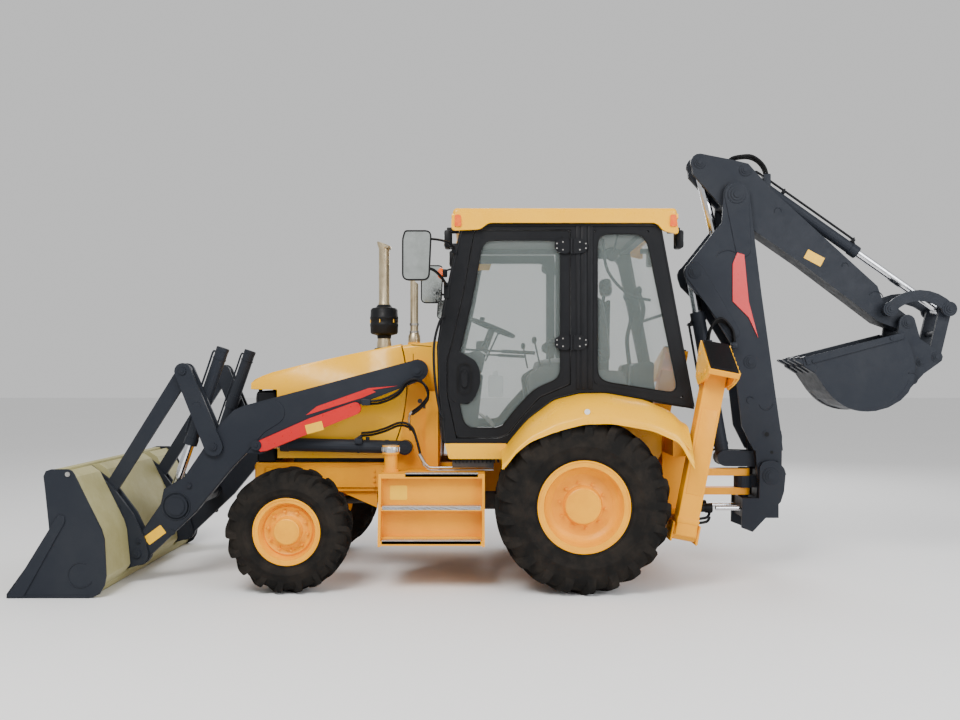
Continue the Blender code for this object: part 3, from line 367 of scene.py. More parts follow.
class Shape:
    """One piece in the making: parts are added, then it is finished and hung on a body."""

    def __init__(self) -> None:
        """An empty piece."""
        self.mesh = bmesh.new()

    def _bevel(self, verts: Iterable[bmesh.types.BMVert], width: float, segments: int = 2) -> None:
        """Round the edges of the part that these vertices make."""
        edges = {e for v in verts for e in v.link_edges if len(e.link_faces) == 2
                 and e.calc_face_angle(0) > math.radians(30)}
        bmesh.ops.bevel(self.mesh, geom=list(edges), offset=width, segments=segments, affect="EDGES",
                        profile=0.5, clamp_overlap=True)

    def block(self, x: Pair, y: Pair, z: Pair, bevel: float = 0.004, segments: int = 2) -> "Shape":
        """Add a rounded block between pairs of x (from the rear axle), y and z."""
        middle = Vector(((x[0] + x[1]) / 2 + AXLE, (y[0] + y[1]) / 2, (z[0] + z[1]) / 2))
        size = (abs(x[1] - x[0]), abs(y[1] - y[0]), abs(z[1] - z[0]), 1)
        made = bmesh.ops.create_cube(self.mesh, size=1,
                                     matrix=Matrix.Translation(middle) @ Matrix.Diagonal(size))
        if bevel:
            self._bevel(made["verts"], bevel, segments)
        return self

    def plate(self, outline: Sequence[Pair], y: Pair, bevel: float = 0.002) -> "Shape":
        """Add an (x, z) outline standing between two values of y."""
        low = [self.mesh.verts.new(at(p, y[0])) for p in outline]
        high = [self.mesh.verts.new(at(p, y[1])) for p in outline]
        self.mesh.faces.new(low)
        self.mesh.faces.new(reversed(high))
        for i in range(len(low)):
            self.mesh.faces.new((low[i - 1], low[i], high[i], high[i - 1]))
        if bevel:
            rim = {e for v in low + high for e in v.link_edges
                   if abs(e.verts[0].co.y - e.verts[1].co.y) < 1e-7}
            bmesh.ops.bevel(self.mesh, geom=list(rim), offset=bevel, segments=1, affect="EDGES",
                            clamp_overlap=True)
        return self

    def ring(self, outer: Sequence[Pair], inner: Sequence[Pair], y: Pair) -> "Shape":
        """Add a flat frame between two outlines with the same number of points."""
        loops = [[self.mesh.verts.new(at(p, h)) for p in line]
                 for line, h in ((outer, y[0]), (outer, y[1]), (inner, y[1]), (inner, y[0]))]
        for one, two in zip(loops, loops[1:] + loops[:1]):
            for i in range(len(one)):
                self.mesh.faces.new((one[i - 1], one[i], two[i], two[i - 1]))
        return self

    def pin(self, pair: Pair, radius: float, y: Pair, steps: int = 32, bevel: float = 0.003) -> "Shape":
        """Add a round boss across the machine."""
        return self.rod(at(pair, y[0]), at(pair, y[1]), radius, steps=steps, bevel=bevel)

    def rod(self, a: Vector, b: Vector, radius: float, end: float | None = None, steps: int = 24,
            bevel: float = 0.0) -> "Shape":
        """Add a round bar or cone between two points of the frame."""
        turn = (b - a).to_track_quat("Z", "Y").to_matrix().to_4x4()
        made = bmesh.ops.create_cone(self.mesh, cap_ends=True, segments=steps, radius1=radius,
                                     radius2=radius if end is None else end, depth=(b - a).length,
                                     matrix=Matrix.Translation((a + b) / 2) @ turn)
        if bevel:
            caps = {e for v in made["verts"] for e in v.link_edges if e.calc_face_angle(0) > math.radians(50)}
            bmesh.ops.bevel(self.mesh, geom=list(caps), offset=bevel, segments=2, affect="EDGES",
                            clamp_overlap=True)
        return self

    def lathe(self, profile: Sequence[Pair], centre: Vector, axis: Vector = Vector((0, 1, 0)),
              steps: int = 64, closed: bool = True) -> "Shape":
        """Add a body turned about an axis; profile is (radius, height) pairs.

        Args:
            profile: The section; where closed, its last point joins its first.
            centre: The axis's zero height.
            axis: The axis's direction.
            steps: Facets round.
            closed: Whether the section is a closed loop.

        Returns:
            This shape.
        """
        turn = axis.to_track_quat("Z", "X").to_matrix()
        rows = []
        for r, h in profile:
            if r < 1e-6:
                rows.append([self.mesh.verts.new(centre + turn @ Vector((0, 0, h)))])
                continue
            rows.append([self.mesh.verts.new(centre + turn @ Vector((
                r * math.cos(math.tau * k / steps), r * math.sin(math.tau * k / steps),
                h))) for k in range(steps)])
        pairs = list(zip(rows, rows[1:] + rows[:1])) if closed else list(zip(rows, rows[1:]))
        for one, two in pairs:
            for k in range(steps):
                corners = [one[k % len(one)], one[(k + 1) % len(one)], two[(k + 1) % len(two)],
                           two[k % len(two)]]
                corners = list(dict.fromkeys(corners))
                if len(corners) > 2:
                    self.mesh.faces.new(corners)
        return self

    def tube(self, points: Sequence[Vector], radius: float, steps: int = 12) -> "Shape":
        """Add a round tube along points, closed at its ends."""
        rings = []
        side = (points[1] - points[0]).orthogonal().normalized()
        for i, here in enumerate(points):
            way = (points[min(i + 1, len(points) - 1)] - points[max(i - 1, 0)]).normalized()
            side = (side - way * side.dot(way)).normalized()
            other = way.cross(side)
            rings.append([self.mesh.verts.new(here + radius * (
                side * math.cos(math.tau * k / steps) + other * math.sin(math.tau * k / steps)))
                for k in range(steps)])
        for one, two in zip(rings, rings[1:]):
            for k in range(steps):
                self.mesh.faces.new((one[k - 1], one[k], two[k], two[k - 1]))
        self.mesh.faces.new(rings[0])
        self.mesh.faces.new(rings[-1])
        return self

    def loop(self, points: Sequence[Vector], radius: float, steps: int = 6) -> "Shape":
        """Add a thin closed bead along a closed line of points."""
        rings = []
        count = len(points)
        for i, here in enumerate(points):
            way = (points[(i + 1) % count] - points[i - 1]).normalized()
            side = way.cross(Vector((0, 1, 0)))
            side = side.normalized() if side.length > 1e-6 else Vector((1, 0, 0))
            other = way.cross(side)
            rings.append([self.mesh.verts.new(here + radius * (
                side * math.cos(math.tau * k / steps) + other * math.sin(math.tau * k / steps)))
                for k in range(steps)])
        for i in range(count):
            for k in range(steps):
                self.mesh.faces.new((rings[i - 1][k - 1], rings[i - 1][k], rings[i][k], rings[i][k - 1]))
        return self

    def weld(self, outline: Sequence[Pair], y: float, radius: float = 0.004, closed: bool = True) -> "Shape":
        """Add a weld bead along an (x, z) line on the face at y."""
        points = [at(p, y) for p in outline]
        return self.loop(points, radius) if closed else self.tube(points, radius, 6)

    def surface(self, rows: Sequence[Sequence[Vector]]) -> "Shape":
        """Add a sheet of faces through a grid of points."""
        grid = [[self.mesh.verts.new(p) for p in row] for row in rows]
        for one, two in zip(grid, grid[1:]):
            for k in range(len(one) - 1):
                self.mesh.faces.new((one[k], one[k + 1], two[k + 1], two[k]))
        return self

    def both(self) -> "Shape":
        """Add the mirror image of everything so far."""
        copy = bmesh.ops.duplicate(self.mesh,
                                   geom=self.mesh.verts[:] + self.mesh.edges[:] + self.mesh.faces[:])
        verts = [g for g in copy["geom"] if isinstance(g, bmesh.types.BMVert)]
        bmesh.ops.scale(self.mesh, vec=(1, -1, 1), verts=verts)
        return self

    def moved(self, matrix: Matrix) -> "Shape":
        """Carry everything so far by a matrix."""
        bmesh.ops.transform(self.mesh, matrix=matrix, verts=self.mesh.verts[:])
        return self

    def raw(self, name: str, finish: Finish, sharp: float = 40.0, thick: float = 0.0) -> Thing:
        """The object, dressed but not hung.

        Args:
            name: The piece's name.
            finish: Its finish.
            sharp: Angle past which an edge stays sharp, in degrees.
            thick: Wall given to an open sheet, inwards.

        Returns:
            The new object.
        """
        bmesh.ops.remove_doubles(self.mesh, verts=self.mesh.verts[:], dist=1e-6)
        bmesh.ops.recalc_face_normals(self.mesh, faces=self.mesh.faces[:])
        if thick:
            bmesh.ops.solidify(self.mesh, geom=self.mesh.faces[:], thickness=thick)
            bmesh.ops.recalc_face_normals(self.mesh, faces=self.mesh.faces[:])
        data = bpy.data.meshes.new(name)
        self.mesh.to_mesh(data)
        self.mesh.free()
        data.shade_smooth()
        data.set_sharp_from_angle(angle=math.radians(sharp))
        data.materials.append(finish.make())
        obj = bpy.data.objects.new(name, data)
        bpy.context.scene.collection.objects.link(obj)
        return obj

    def done(self, name: str, finish: Finish, body: str = Body.CHASSIS, sharp: float = 40.0,
             thick: float = 0.0,
             instead: Sequence[str] = ()) -> Thing:
        """Finish the piece and let it ride.

        Args:
            name: The piece's name.
            finish: Its finish.
            body: The body it rides on, the chassis unless named.
            sharp: Angle past which an edge stays sharp, in degrees.
            thick: Wall given to an open sheet.
            instead: CAD nodes that it stands for.

        Returns:
            The piece.
        """
        return hang(self.raw(name, finish, sharp, thick), body, instead)


def hang(obj: Thing, body: str = Body.CHASSIS, instead: Sequence[str] = ()) -> Thing:
    """Let an object ride on a body, and hide the CAD nodes that it stands for."""
    body = body.value if isinstance(body, Body) else body
    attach(obj, body)
    if instead:
        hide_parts(*instead)
    LOG.info("%s rides on %s", obj.name, body)
    return obj


class Copier:
    """Geometry Nodes that lay copies of one small shape in a ring or a row."""

    def __init__(self, layout: Repeat) -> None:
        """Build the tree.

        Args:
            layout: A ring about y, or a straight row.
        """
        self.layout = layout
        self.tree = bpy.data.node_groups.new(layout.value, "GeometryNodeTree")
        face = self.tree.interface
        face.new_socket("Geometry", in_out="OUTPUT", socket_type="NodeSocketGeometry")
        self.ids = {}
        for title, kind in (("Item", "NodeSocketObject"), ("Count", "NodeSocketInt"),
                            ("Start", "NodeSocketFloat"),
                            ("Step", "NodeSocketVector"), ("Finish", "NodeSocketMaterial")):
            self.ids[title] = face.new_socket(title, in_out="INPUT", socket_type=kind).identifier
        new, join = self.tree.nodes.new, self.tree.links.new
        given, out = new("NodeGroupInput"), new("NodeGroupOutput")
        item = new("GeometryNodeObjectInfo")
        join(given.outputs["Item"], item.inputs["Object"])
        spread = new("GeometryNodeInstanceOnPoints")
        if layout is Repeat.RING:
            points = new("GeometryNodePoints")
            turn, share, start = (new("ShaderNodeMath") for _ in range(3))
            turn.operation, share.operation, start.operation = "MULTIPLY", "DIVIDE", "ADD"
            turn.inputs[1].default_value = math.tau
            join(new("GeometryNodeInputIndex").outputs[0], turn.inputs[0])
            join(turn.outputs[0], share.inputs[0])
            join(given.outputs["Count"], share.inputs[1])
            join(share.outputs[0], start.inputs[0])
            join(given.outputs["Start"], start.inputs[1])
            angles = new("ShaderNodeCombineXYZ")
            join(start.outputs[0], angles.inputs["Y"])
            join(angles.outputs[0], spread.inputs["Rotation"])
            join(points.outputs[0], spread.inputs["Points"])
        else:
            points = new("GeometryNodeMeshLine")
            join(given.outputs["Step"], points.inputs["Offset"])
            join(points.outputs[0], spread.inputs["Points"])
        join(given.outputs["Count"], points.inputs["Count"])
        join(item.outputs["Geometry"], spread.inputs["Instance"])
        real, dress = new("GeometryNodeRealizeInstances"), new("GeometryNodeSetMaterial")
        join(spread.outputs[0], real.inputs[0])
        join(real.outputs[0], dress.inputs["Geometry"])
        join(given.outputs["Finish"], dress.inputs["Material"])
        join(dress.outputs[0], out.inputs[0])

    def lay(self, name: str, item: Shape, finish: Finish, body: str, count: int, start: float = 0.0,
            step: Vector = Vector((0, 0, 0)), centre: Vector = Vector((0, 0, 0)),
            mirror: bool = False) -> Thing:
        """Lay the copies out and let them ride.

        Args:
            name: The piece's name.
            item: The small shape, made in place for the first copy.
            finish: Its finish.
            body: The body it rides on.
            count: How many copies.
            start: First angle of a ring, in radians.
            step: Distance between a row's copies.
            centre: Where the ring's axis or the row's origin is moved.
            mirror: Whether the result is mirrored to the right side.

        Returns:
            The baked piece.
        """
        seed = item.raw(name + "_item", finish)
        holder = bpy.data.objects.new(name + "_rows", bpy.data.meshes.new(name))
        bpy.context.scene.collection.objects.link(holder)
        mod = holder.modifiers.new("Copies", "NODES")
        mod.node_group = self.tree
        values = {"Item": seed, "Count": count, "Start": start, "Step": step, "Finish": finish.make()}
        for title, value in values.items():
            mod[self.ids[title]] = value
        bpy.context.view_layer.update()
        graph = bpy.context.evaluated_depsgraph_get()
        data = bpy.data.meshes.new_from_object(holder.evaluated_get(graph))
        holder.modifiers.clear()
        bpy.data.objects.remove(holder)
        bpy.data.objects.remove(seed)
        data.transform(Matrix.Translation(centre))
        if mirror:
            data.transform(Matrix.Scale(-1, 4, (0, 1, 0)))
            data.flip_normals()
        data.name = name
        data.set_sharp_from_angle(angle=math.radians(40))
        obj = bpy.data.objects.new(name, data)
        bpy.context.scene.collection.objects.link(obj)
        return hang(obj, body)


def hose(name: str, points: Sequence[Vector], radius: float, bodies: Sequence[str],
         blend: tuple[Vector, Vector] | None = None) -> Thing:
    """A rubber hose: a tube along a smooth line through its points.

    Args:
        name: The piece's name.
        points: What its middle line passes through.
        radius: Outer radius.
        bodies: One body, or the two that it runs between; without a blend it rides on the first.
        blend: Where it leaves the first body and where it reaches the second; when given, the hose stays in
            place on no body.

    Returns:
        The hose.
    """
    line = smooth_path(points, 5)
    obj = Shape().tube(line, radius, 12).raw(name, HOSE)
    if blend:
        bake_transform(obj)
    else:
        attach(obj, bodies[0])
    return obj


# ------------------------------------------------------------------ wheels

@dataclass
class Wheel:
    """A lugged tyre on a dished rim with a hub cap and bolts."""
    end: str
    x: float
    radius: float
    half: float
    seat: float
    flange: float
    inner: float
    lugs: int
    bolts: int
    bolt_circle: float
    track: float = 0.9025
    steps: int = 96
    tread: float = 0.030

    def centre(self, sign: int) -> Vector:
        """The hub's point."""
        return at((self.x, self.radius), sign * self.track)

    def build(self, ring: Copier) -> None:
        """Build both wheels of the axle."""
        for side, sign in SIDES:
            self._tyre(side, sign)
            self._lugs(ring, side, sign)
            self._rim(side, sign)
            self._bolts(ring, side, sign)

    def _carcass(self, share: float) -> float:
        """Radius of the carcass at a share of the half width."""
        depth = self.radius - self.tread - self.seat
        return self.seat + depth * (1 - 0.42 * max(0.0, (share - 0.55) / 0.45) ** 2.2)

    def _tyre(self, side: str, sign: int) -> None:
        """The carcass with its bead, wall rings and crown."""
        half, depth = self.half, self.radius - self.tread - self.seat
        wall = [(self.seat + 0.001, 0.795 * half), (self.flange + 0.004, 0.80 * half),
                (self.flange + 0.006, 0.84 * half), (self.flange + 0.016, 0.845 * half),
                (self.flange + 0.019, 0.885 * half), (self.seat + 0.30 * depth, 0.93 * half),
                (self.seat + 0.42 * depth, 0.965 * half), (self.seat + 0.44 * depth, 0.985 * half),
                (self.seat + 0.47 * depth, 0.985 * half), (self.seat + 0.49 * depth, 0.965 * half)]
        wall += [(self._carcass(s), s * half) for s in (0.96, 0.93, 0.88, 0.82, 0.74, 0.62, 0.45, 0.2)]
        wall = sorted(wall[:10], key=lambda p: p[0]) + wall[10:]
        profile = wall + [(r, -y) for r, y in reversed(wall)]
        Shape().lathe(profile, self.centre(sign), steps=self.steps).done(
            f"{self.end}_carcass_{side}", RUBBER, f"{self.end}_wheel_{side}", 50,
            instead=[f"{self.end}_tyre_{side}"])

    def _lug(self, way: int) -> Shape:
        """One tread bar from the crown to the shoulder, at the top of the wheel."""
        shape = Shape()
        wide, sweep = 0.030 * self.radius / 0.6, math.radians(15)
        shares = (-0.02, 0.2, 0.4, 0.6, 0.76, 0.87, 0.945)
        drops = (0.0, 0.0, 0.001, 0.003, 0.010, 0.026, 0.062)
        rows = []
        for share, drop in zip(shares, drops):
            turn = sweep * max(0.0, share) ** 0.85
            top = self.radius - drop * self.radius / 0.55 - 0.0005
            low = min(self._carcass(max(0.0, share)) - 0.004, top - 0.004)
            grow = 1.0 + 0.35 * max(0.0, share)
            row = []
            for r, offset in ((low, -wide * grow), (top, -wide * 0.7 * grow), (top, wide * 0.7 * grow),
                              (low, wide * grow)):
                angle = turn + offset / self.radius
                row.append(shape.mesh.verts.new((r * math.sin(angle), way * share * self.half,
                                                 r * math.cos(angle))))
            rows.append(row)
        for one, two in zip(rows, rows[1:]):
            for k in range(4):
                shape.mesh.faces.new((one[k - 1], one[k], two[k], two[k - 1]))
        shape.mesh.faces.new(rows[0])
        shape.mesh.faces.new(rows[-1])
        return shape

    def _lugs(self, ring: Copier, side: str, sign: int) -> None:
        """Both rows of tread bars, half a pitch apart."""
        for way, start in ((1, 0.0), (-1, math.pi / self.lugs)):
            row = "outer" if way == sign else "inner"
            ring.lay(f"{self.end}_lugs_{row}_{side}", self._lug(way), RUBBER, f"{self.end}_wheel_{side}",
                     self.lugs, start, centre=self.centre(sign))

    def _rim(self, side: str, sign: int) -> None:
        """The rim, its dished disc and the hub cap."""
        edge, seat, flange = 0.80 * self.half, self.seat, self.flange
        cap = 0.45 * seat
        out = [(0, self.inner), (0.12, self.inner), (0.13, self.inner + 0.03), (seat - 0.055, 0.045),
               (seat - 0.022, 0.02), (seat - 0.022, -edge - 0.012), (flange, -edge - 0.012),
               (flange, -edge - 0.001), (seat, -edge - 0.001), (seat, edge + 0.001),
               (flange - 0.003, edge + 0.001),
               (flange, edge + 0.004), (flange, edge + 0.010), (flange - 0.003, edge + 0.013),
               (flange - 0.012, edge + 0.013), (flange - 0.016, edge + 0.008), (seat - 0.008, edge + 0.004),
               (seat - 0.012, edge - 0.004), (seat - 0.020, 0.60 * edge), (seat - 0.030, 0.50 * edge),
               (seat - 0.045, 0.085), (seat - 0.075, 0.068), (cap + 0.030, 0.074), (cap + 0.012, 0.082),
               (cap + 0.004, 0.098), (cap, 0.135), (cap - 0.004, 0.147), (cap - 0.012, 0.152),
               (0.5 * cap, 0.154), (0, 0.155)]
        profile = [(r, sign * y) for r, y in out]
        Shape().lathe(profile, self.centre(sign), steps=self.steps, closed=False).done(
            f"{self.end}_rim_dish_{side}", RIM, f"{self.end}_wheel_{side}", 28,
            instead=[f"{self.end}_rim_{side}"])

    def _bolts(self, ring: Copier, side: str, sign: int) -> None:
        """A circle of wheel nuts on the disc."""
        nut = Shape()
        a, b = Vector((0, sign * 0.066, self.bolt_circle)), Vector((0, sign * 0.092, self.bolt_circle))
        nut.rod(a, b, 0.0125, 0.0115, 6).rod(a, a.lerp(b, 0.25), 0.018, steps=12)
        nut.rod(b, b + Vector((0, sign * 0.012, 0)), 0.006, steps=8)
        ring.lay(f"{self.end}_nuts_{side}", nut, RIM, f"{self.end}_wheel_{side}", self.bolts, 0.16,
                 centre=self.centre(sign))


# ------------------------------------------------------------------ chassis, hood and steps

@dataclass
class Chassis:
    """Frame details, hood, cowl, stacks and the steps."""
    hinge: Pair = (2.58, 1.55)
    reach: float = 1.2185
    half: float = 0.40

    def build(self, row: Copier) -> None:
        """Build every piece of the chassis."""
        self._hood()
        self._cowl()
        self._stacks()
        self._guard(row)
        self._steps(row)
        self._filler()
        self._pipes()
        self._plates(row)

    def _hood(self) -> None:
        """The pressed hood: rounded shoulders, open below."""
        top = math.degrees(math.atan2(1.869 - self.hinge[1], 1.404 - self.hinge[0]))
        low = math.degrees(math.asin((0.96 - self.hinge[1]) / self.reach))
        rear = arc(self.hinge, self.reach, 180 - low, top, 22)
        front = [(1.80, 1.788), (2.20, 1.701), (2.44, 1.640), (2.52, 1.612), (2.575, 1.588), (2.60, 1.56),
                 (2.603, 1.515), (2.405, 1.512), (2.40, 0.96)]
        outline = rear + front
        shape = Shape().plate(outline, (-self.half, self.half), 0)
        mesh = shape.mesh
        edges = [e for e in mesh.edges if abs(e.verts[0].co.y - e.verts[1].co.y) < 1e-6
                 and min(v.co.z for v in e.verts) > 1.56 and abs(e.verts[0].co.x - e.verts[1].co.x) > 0.02]
        bmesh.ops.bevel(mesh, geom=edges, offset=0.035, segments=5, affect="EDGES", profile=0.5,
                        clamp_overlap=True)
        bmesh.ops.recalc_face_normals(mesh, faces=mesh.faces[:])
        gone = [f for f in mesh.faces if f.normal.z < -0.7 or (f.normal.x < -0.35 and abs(f.normal.y) < 0.5
                and f.normal.z < 0.9) or (f.normal.x > 0.9 and f.calc_center_median().z < 1.5)]
        bmesh.ops.delete(mesh, geom=gone, context="FACES")
        shape.done("hood_skin", YELLOW, Body.HOOD, 30, thick=-0.012, instead=["hood"])
        trim = Shape()
        trim.block((2.405, 2.60), (-0.385, 0.385), (1.513, 1.530), 0.003)
        trim.rod(at((1.58, 1.80)), at((1.58, 1.858)), 0.085, steps=40, bevel=0.006)
        trim.done("hood_lining", TRIM, Body.HOOD)
        Shape().block((1.50, 1.53), (0.3995, 0.4035), (1.30, 1.36), 0.001).block(
            (1.44, 1.47), (-0.30, 0.30), (1.8595, 1.8635), 0.001).both().done("hood_latches", TRIM, Body.HOOD)

    def _cowl(self) -> None:
        """The fixed panels between hood and cab, with a recessed service window."""
        front = arc(self.hinge, self.reach + 0.01, 208.8, 164.9, 20)
        outline = front + [(1.115, 1.905), (1.10, 1.89), (1.10, 0.9203), (1.50, 0.9203)]
        shape = Shape().plate(outline, (-0.41, 0.41), 0)
        edges = [e for e in shape.mesh.edges if abs(e.verts[0].co.y - e.verts[1].co.y) < 1e-6
                 and min(v.co.z for v in e.verts) > 1.85]
        bmesh.ops.bevel(shape.mesh, geom=edges, offset=0.03, segments=5, affect="EDGES", profile=0.5)
        shape.rod(at((1.325, 1.80)), at((1.325, 1.905)), 0.055, steps=32)
        shape.done("cowl_panel", YELLOW, Body.CHASSIS, 30, instead=["engine_cowl"])
        seams = Shape()
        for side in (1, -1):
            y = (side * 0.4095, side * 0.4115)
            seams.plate(bar((1.305, 1.24), 0.0025, (1.305, 1.80), 0.0025, 4), y, 0)
            seams.plate(bar((1.16, 1.86), 0.0025, (1.32, 1.875), 0.0025, 4), y, 0)
            seams.plate(bar((1.14, 0.95), 0.0025, (1.14, 1.84), 0.0025, 4), y, 0)
        seams.done("cowl_seams", TRIM)
        frame_line = rounded([(1.16, 1.34), (1.335, 1.34), (1.335, 1.475), (1.16, 1.475)], 0.02)
        Shape().plate(frame_line, (0.4095, 0.4125)).done("service_window", TRIM)
        Shape().ring(grown(frame_line, 0.005), grown(frame_line, -0.004), (0.4095, 0.418)).done(
            "service_window_rim", STEEL)
        switch = Shape().pin((1.25, 1.42), 0.022, (0.411, 0.428),
                             24).block((1.20, 1.225), (0.411, 0.43), (1.36, 1.40))
        switch.block((1.275, 1.31), (0.411, 0.425), (1.37, 1.385)).done("service_switches", IRON)

    def _stacks(self) -> None:
        """The exhaust pipe and the air intake with its dust bowl."""
        up = UP
        pipe = [(0.0, 1.9053), (0.05, 1.9053), (0.052, 1.92), (0.05, 1.96), (0.036, 1.99), (0.034, 2.0),
                (0.034, 2.43), (0.031, 2.43), (0.031, 2.10), (0.0, 2.10)]
        shape = Shape().lathe(pipe, at((1.325, 0)), up, 40, closed=False)
        for vert in shape.mesh.verts:
            if vert.co.z > 2.3:
                vert.co.z += 0.028 * (vert.co.x - at((1.325, 0)).x) / 0.034
        shape.done("exhaust_pipe", STACK, Body.CHASSIS, instead=["exhaust_stack"])
        rings = Shape()
        for z in (1.985, 2.05):
            rings.lathe([(0.034, z), (0.040, z), (0.040, z + 0.018), (0.034, z + 0.018)], at((1.325, 0)), up,
                        36)
        rings.done("exhaust_clamps", STEEL)
        centre = at((1.58, 0))
        neck = [(0.0, 1.8603), (0.062, 1.8603), (0.060, 1.90), (0.052, 1.945), (0.0, 1.95)]
        Shape().lathe(neck, centre, up, 40, closed=False).done("intake_neck", STACK, Body.HOOD,
                                                             instead=["precleaner"])
        bowl = [(0.0, 1.94), (0.058, 1.94), (0.060, 1.965), (0.108, 1.978), (0.116, 1.99), (0.118, 2.04),
                (0.120, 2.045), (0.120, 2.062), (0.117, 2.066), (0.117, 2.10), (0.120, 2.105), (0.120, 2.122),
                (0.117, 2.126), (0.115, 2.18), (0.104, 2.196), (0.07, 2.204), (0.056, 2.225), (0.0, 2.23)]
        Shape().lathe(bowl, centre, up, 48, closed=False).done("intake_bowl", TRIM, Body.HOOD)
        clips = Shape()
        for k in range(6):
            turn = Matrix.Rotation(math.tau * k / 6 + 0.3, 3, "Z")
            a, b = turn @ Vector((0.1185, 0, 2.072)), turn @ Vector((0.1185, 0, 2.098))
            clips.rod(centre + a, centre + b, 0.004, steps=8)
        clips.done("intake_clips", STICKER, Body.HOOD)
        stack = [(0.0, 2.21), (0.050, 2.21), (0.048, 2.24), (0.045, 2.25), (0.045, 2.70), (0.058, 2.715),
                 (0.062, 2.735), (0.058, 2.742), (0.0, 2.745)]
        shape = Shape().lathe(stack, centre, up, 40, closed=False)
        for vert in shape.mesh.verts:
            if vert.co.z > 2.705:
                vert.co.z += 0.38 * (vert.co.x - centre.x)
        shape.done("intake_stack", STACK, Body.HOOD)

    def _guard(self, row: Copier) -> None:
        """Slats before the radiator, and lamps in the nose."""
        slat = Shape().block((2.572, 2.586), (-0.34, 0.34), (0.965, 0.977), 0.002)
        row.lay("radiator_slats", slat, TRIM, Body.CHASSIS, 20, step=Vector((0, 0, 0.0262)))
        lamps, glass = Shape(), Shape()
        for y in (-0.27, 0.27):
            lamps.rod(at((2.575, 1.43), y), at((2.592, 1.43), y), 0.062, 0.058, 36)
            glass.rod(at((2.590, 1.43), y), at((2.5955, 1.43), y), 0.052, 0.046, 36)
        lamps.done("nose_lamp_shells", TRIM)
        glass.done("nose_lamp_lenses", LENS)
        Shape().block((2.46, 2.60), (-0.33, 0.33), (0.60, 0.70), 0.012).block(
            (2.56, 2.612), (-0.29, 0.29), (0.70, 0.90), 0.008).done("front_weight", ORANGE)

    def _steps(self, row: Copier) -> None:
        """Chequered tread strips along the steps, with raised studs."""
        levels = ((0.960, 0.6405, "middle"), (0.995, 0.3905, "low"), (0.925, 0.8845, "top"))
        for side, sign in SIDES:
            for edge, z, level in levels:
                x0, x1 = (0.76, 1.50) if level != "top" else (0.78, 1.33)
                strip = Shape()
                inner = edge - 0.085
                strip.block((x0, x1), (sign * inner, sign * edge), (z, z + 0.004), 0.001)
                strip.block((x0, x1), (sign * (edge - 0.001), sign * (edge + 0.005)), (z - 0.024, z + 0.0035),
                            0.001)
                strip.done(f"tread_{level}_{side}", TREAD)
                stud = Shape()
                for k in range(3):
                    slant = 1 if k % 2 else -1
                    y = sign * (edge - 0.018 - 0.026 * k)
                    a = at((x0 + 0.012, z + 0.0045), y - 0.006)
                    b = at((x0 + 0.012 + 0.012 * slant, z + 0.0045), y + 0.006)
                    stud.rod(a, b, 0.0022, steps=6)
                count = int((x1 - x0 - 0.02) / 0.026)
                row.lay(f"studs_{level}_{side}", stud, TREAD, Body.CHASSIS, count, step=Vector((0.026, 0, 0)))
            sheet = Shape()
            outline = rounded([(0.86, 0.68), (0.99, 0.68), (0.99, 0.79), (0.86, 0.79)], 0.012)
            outline = [(x + 0.46, z) for x, z in outline]
            sheet.plate(outline, (sign * 0.8595, sign * 0.8615), 0.0005).done(
                f"tank_sticker_{side}", STICKER)
            bolts = Shape()
            for x in (0.80, 1.13, 1.46):
                bolts.pin((x, 0.83), 0.010, (sign * 0.855, sign * 0.868), 6, 0.001)
            bolts.done(f"tank_bolts_{side}", ORANGE)

    def _filler(self) -> None:
        """The filler neck's cap, with a ribbed grip."""
        shape = Shape()
        centre = at((1.455, 0), 0.74)
        profile = [(0.0, 1.03), (0.062, 1.03), (0.066, 1.036), (0.066, 1.075), (0.058, 1.086), (0.0, 1.09)]
        shape.lathe(profile, centre, UP, 40, closed=False)
        for k in range(10):
            turn = Matrix.Rotation(math.tau * k / 10, 3, "Z")
            shape.rod(centre + turn @ Vector((0.066, 0, 1.04)), centre + turn @ Vector((0.066, 0, 1.072)),
                      0.004, steps=8)
        shape.done("filler_cap", TREAD)
        Shape().lathe([(0.050, 0.884), (0.060, 0.884), (0.060, 0.905), (0.050, 0.905)], centre,
                      UP, 36).done("filler_flange", ORANGE)

    def _pipes(self) -> None:
        """Steel pipes and fittings along the cab's lower edge."""
        line = [(1.196, 0.930), (1.165, 0.902), (1.128, 0.892), (0.90, 0.894), (0.66, 0.897)]
        pipe = Shape().tube(smooth_path([at(p, 0.72) for p in line]), 0.008, 10)
        pipe.tube(smooth_path([at((x, z + 0.022), 0.735) for x, z in line]), 0.008, 10)
        pipe.done("hydraulic_pipes", TREAD)
        fit = Shape()
        fit.rod(at((1.222, 1.0), 0.72), at((1.196, 0.928), 0.72), 0.014, steps=6)
        fit.rod(at((1.236, 1.02), 0.735), at((1.196, 0.952), 0.735), 0.014, steps=6)
        fit.done("pipe_fittings", STEEL)
        Shape().block((0.66, 0.98), (0.70, 0.76), (0.915, 0.975), 0.006).done("valve_block", IRON)

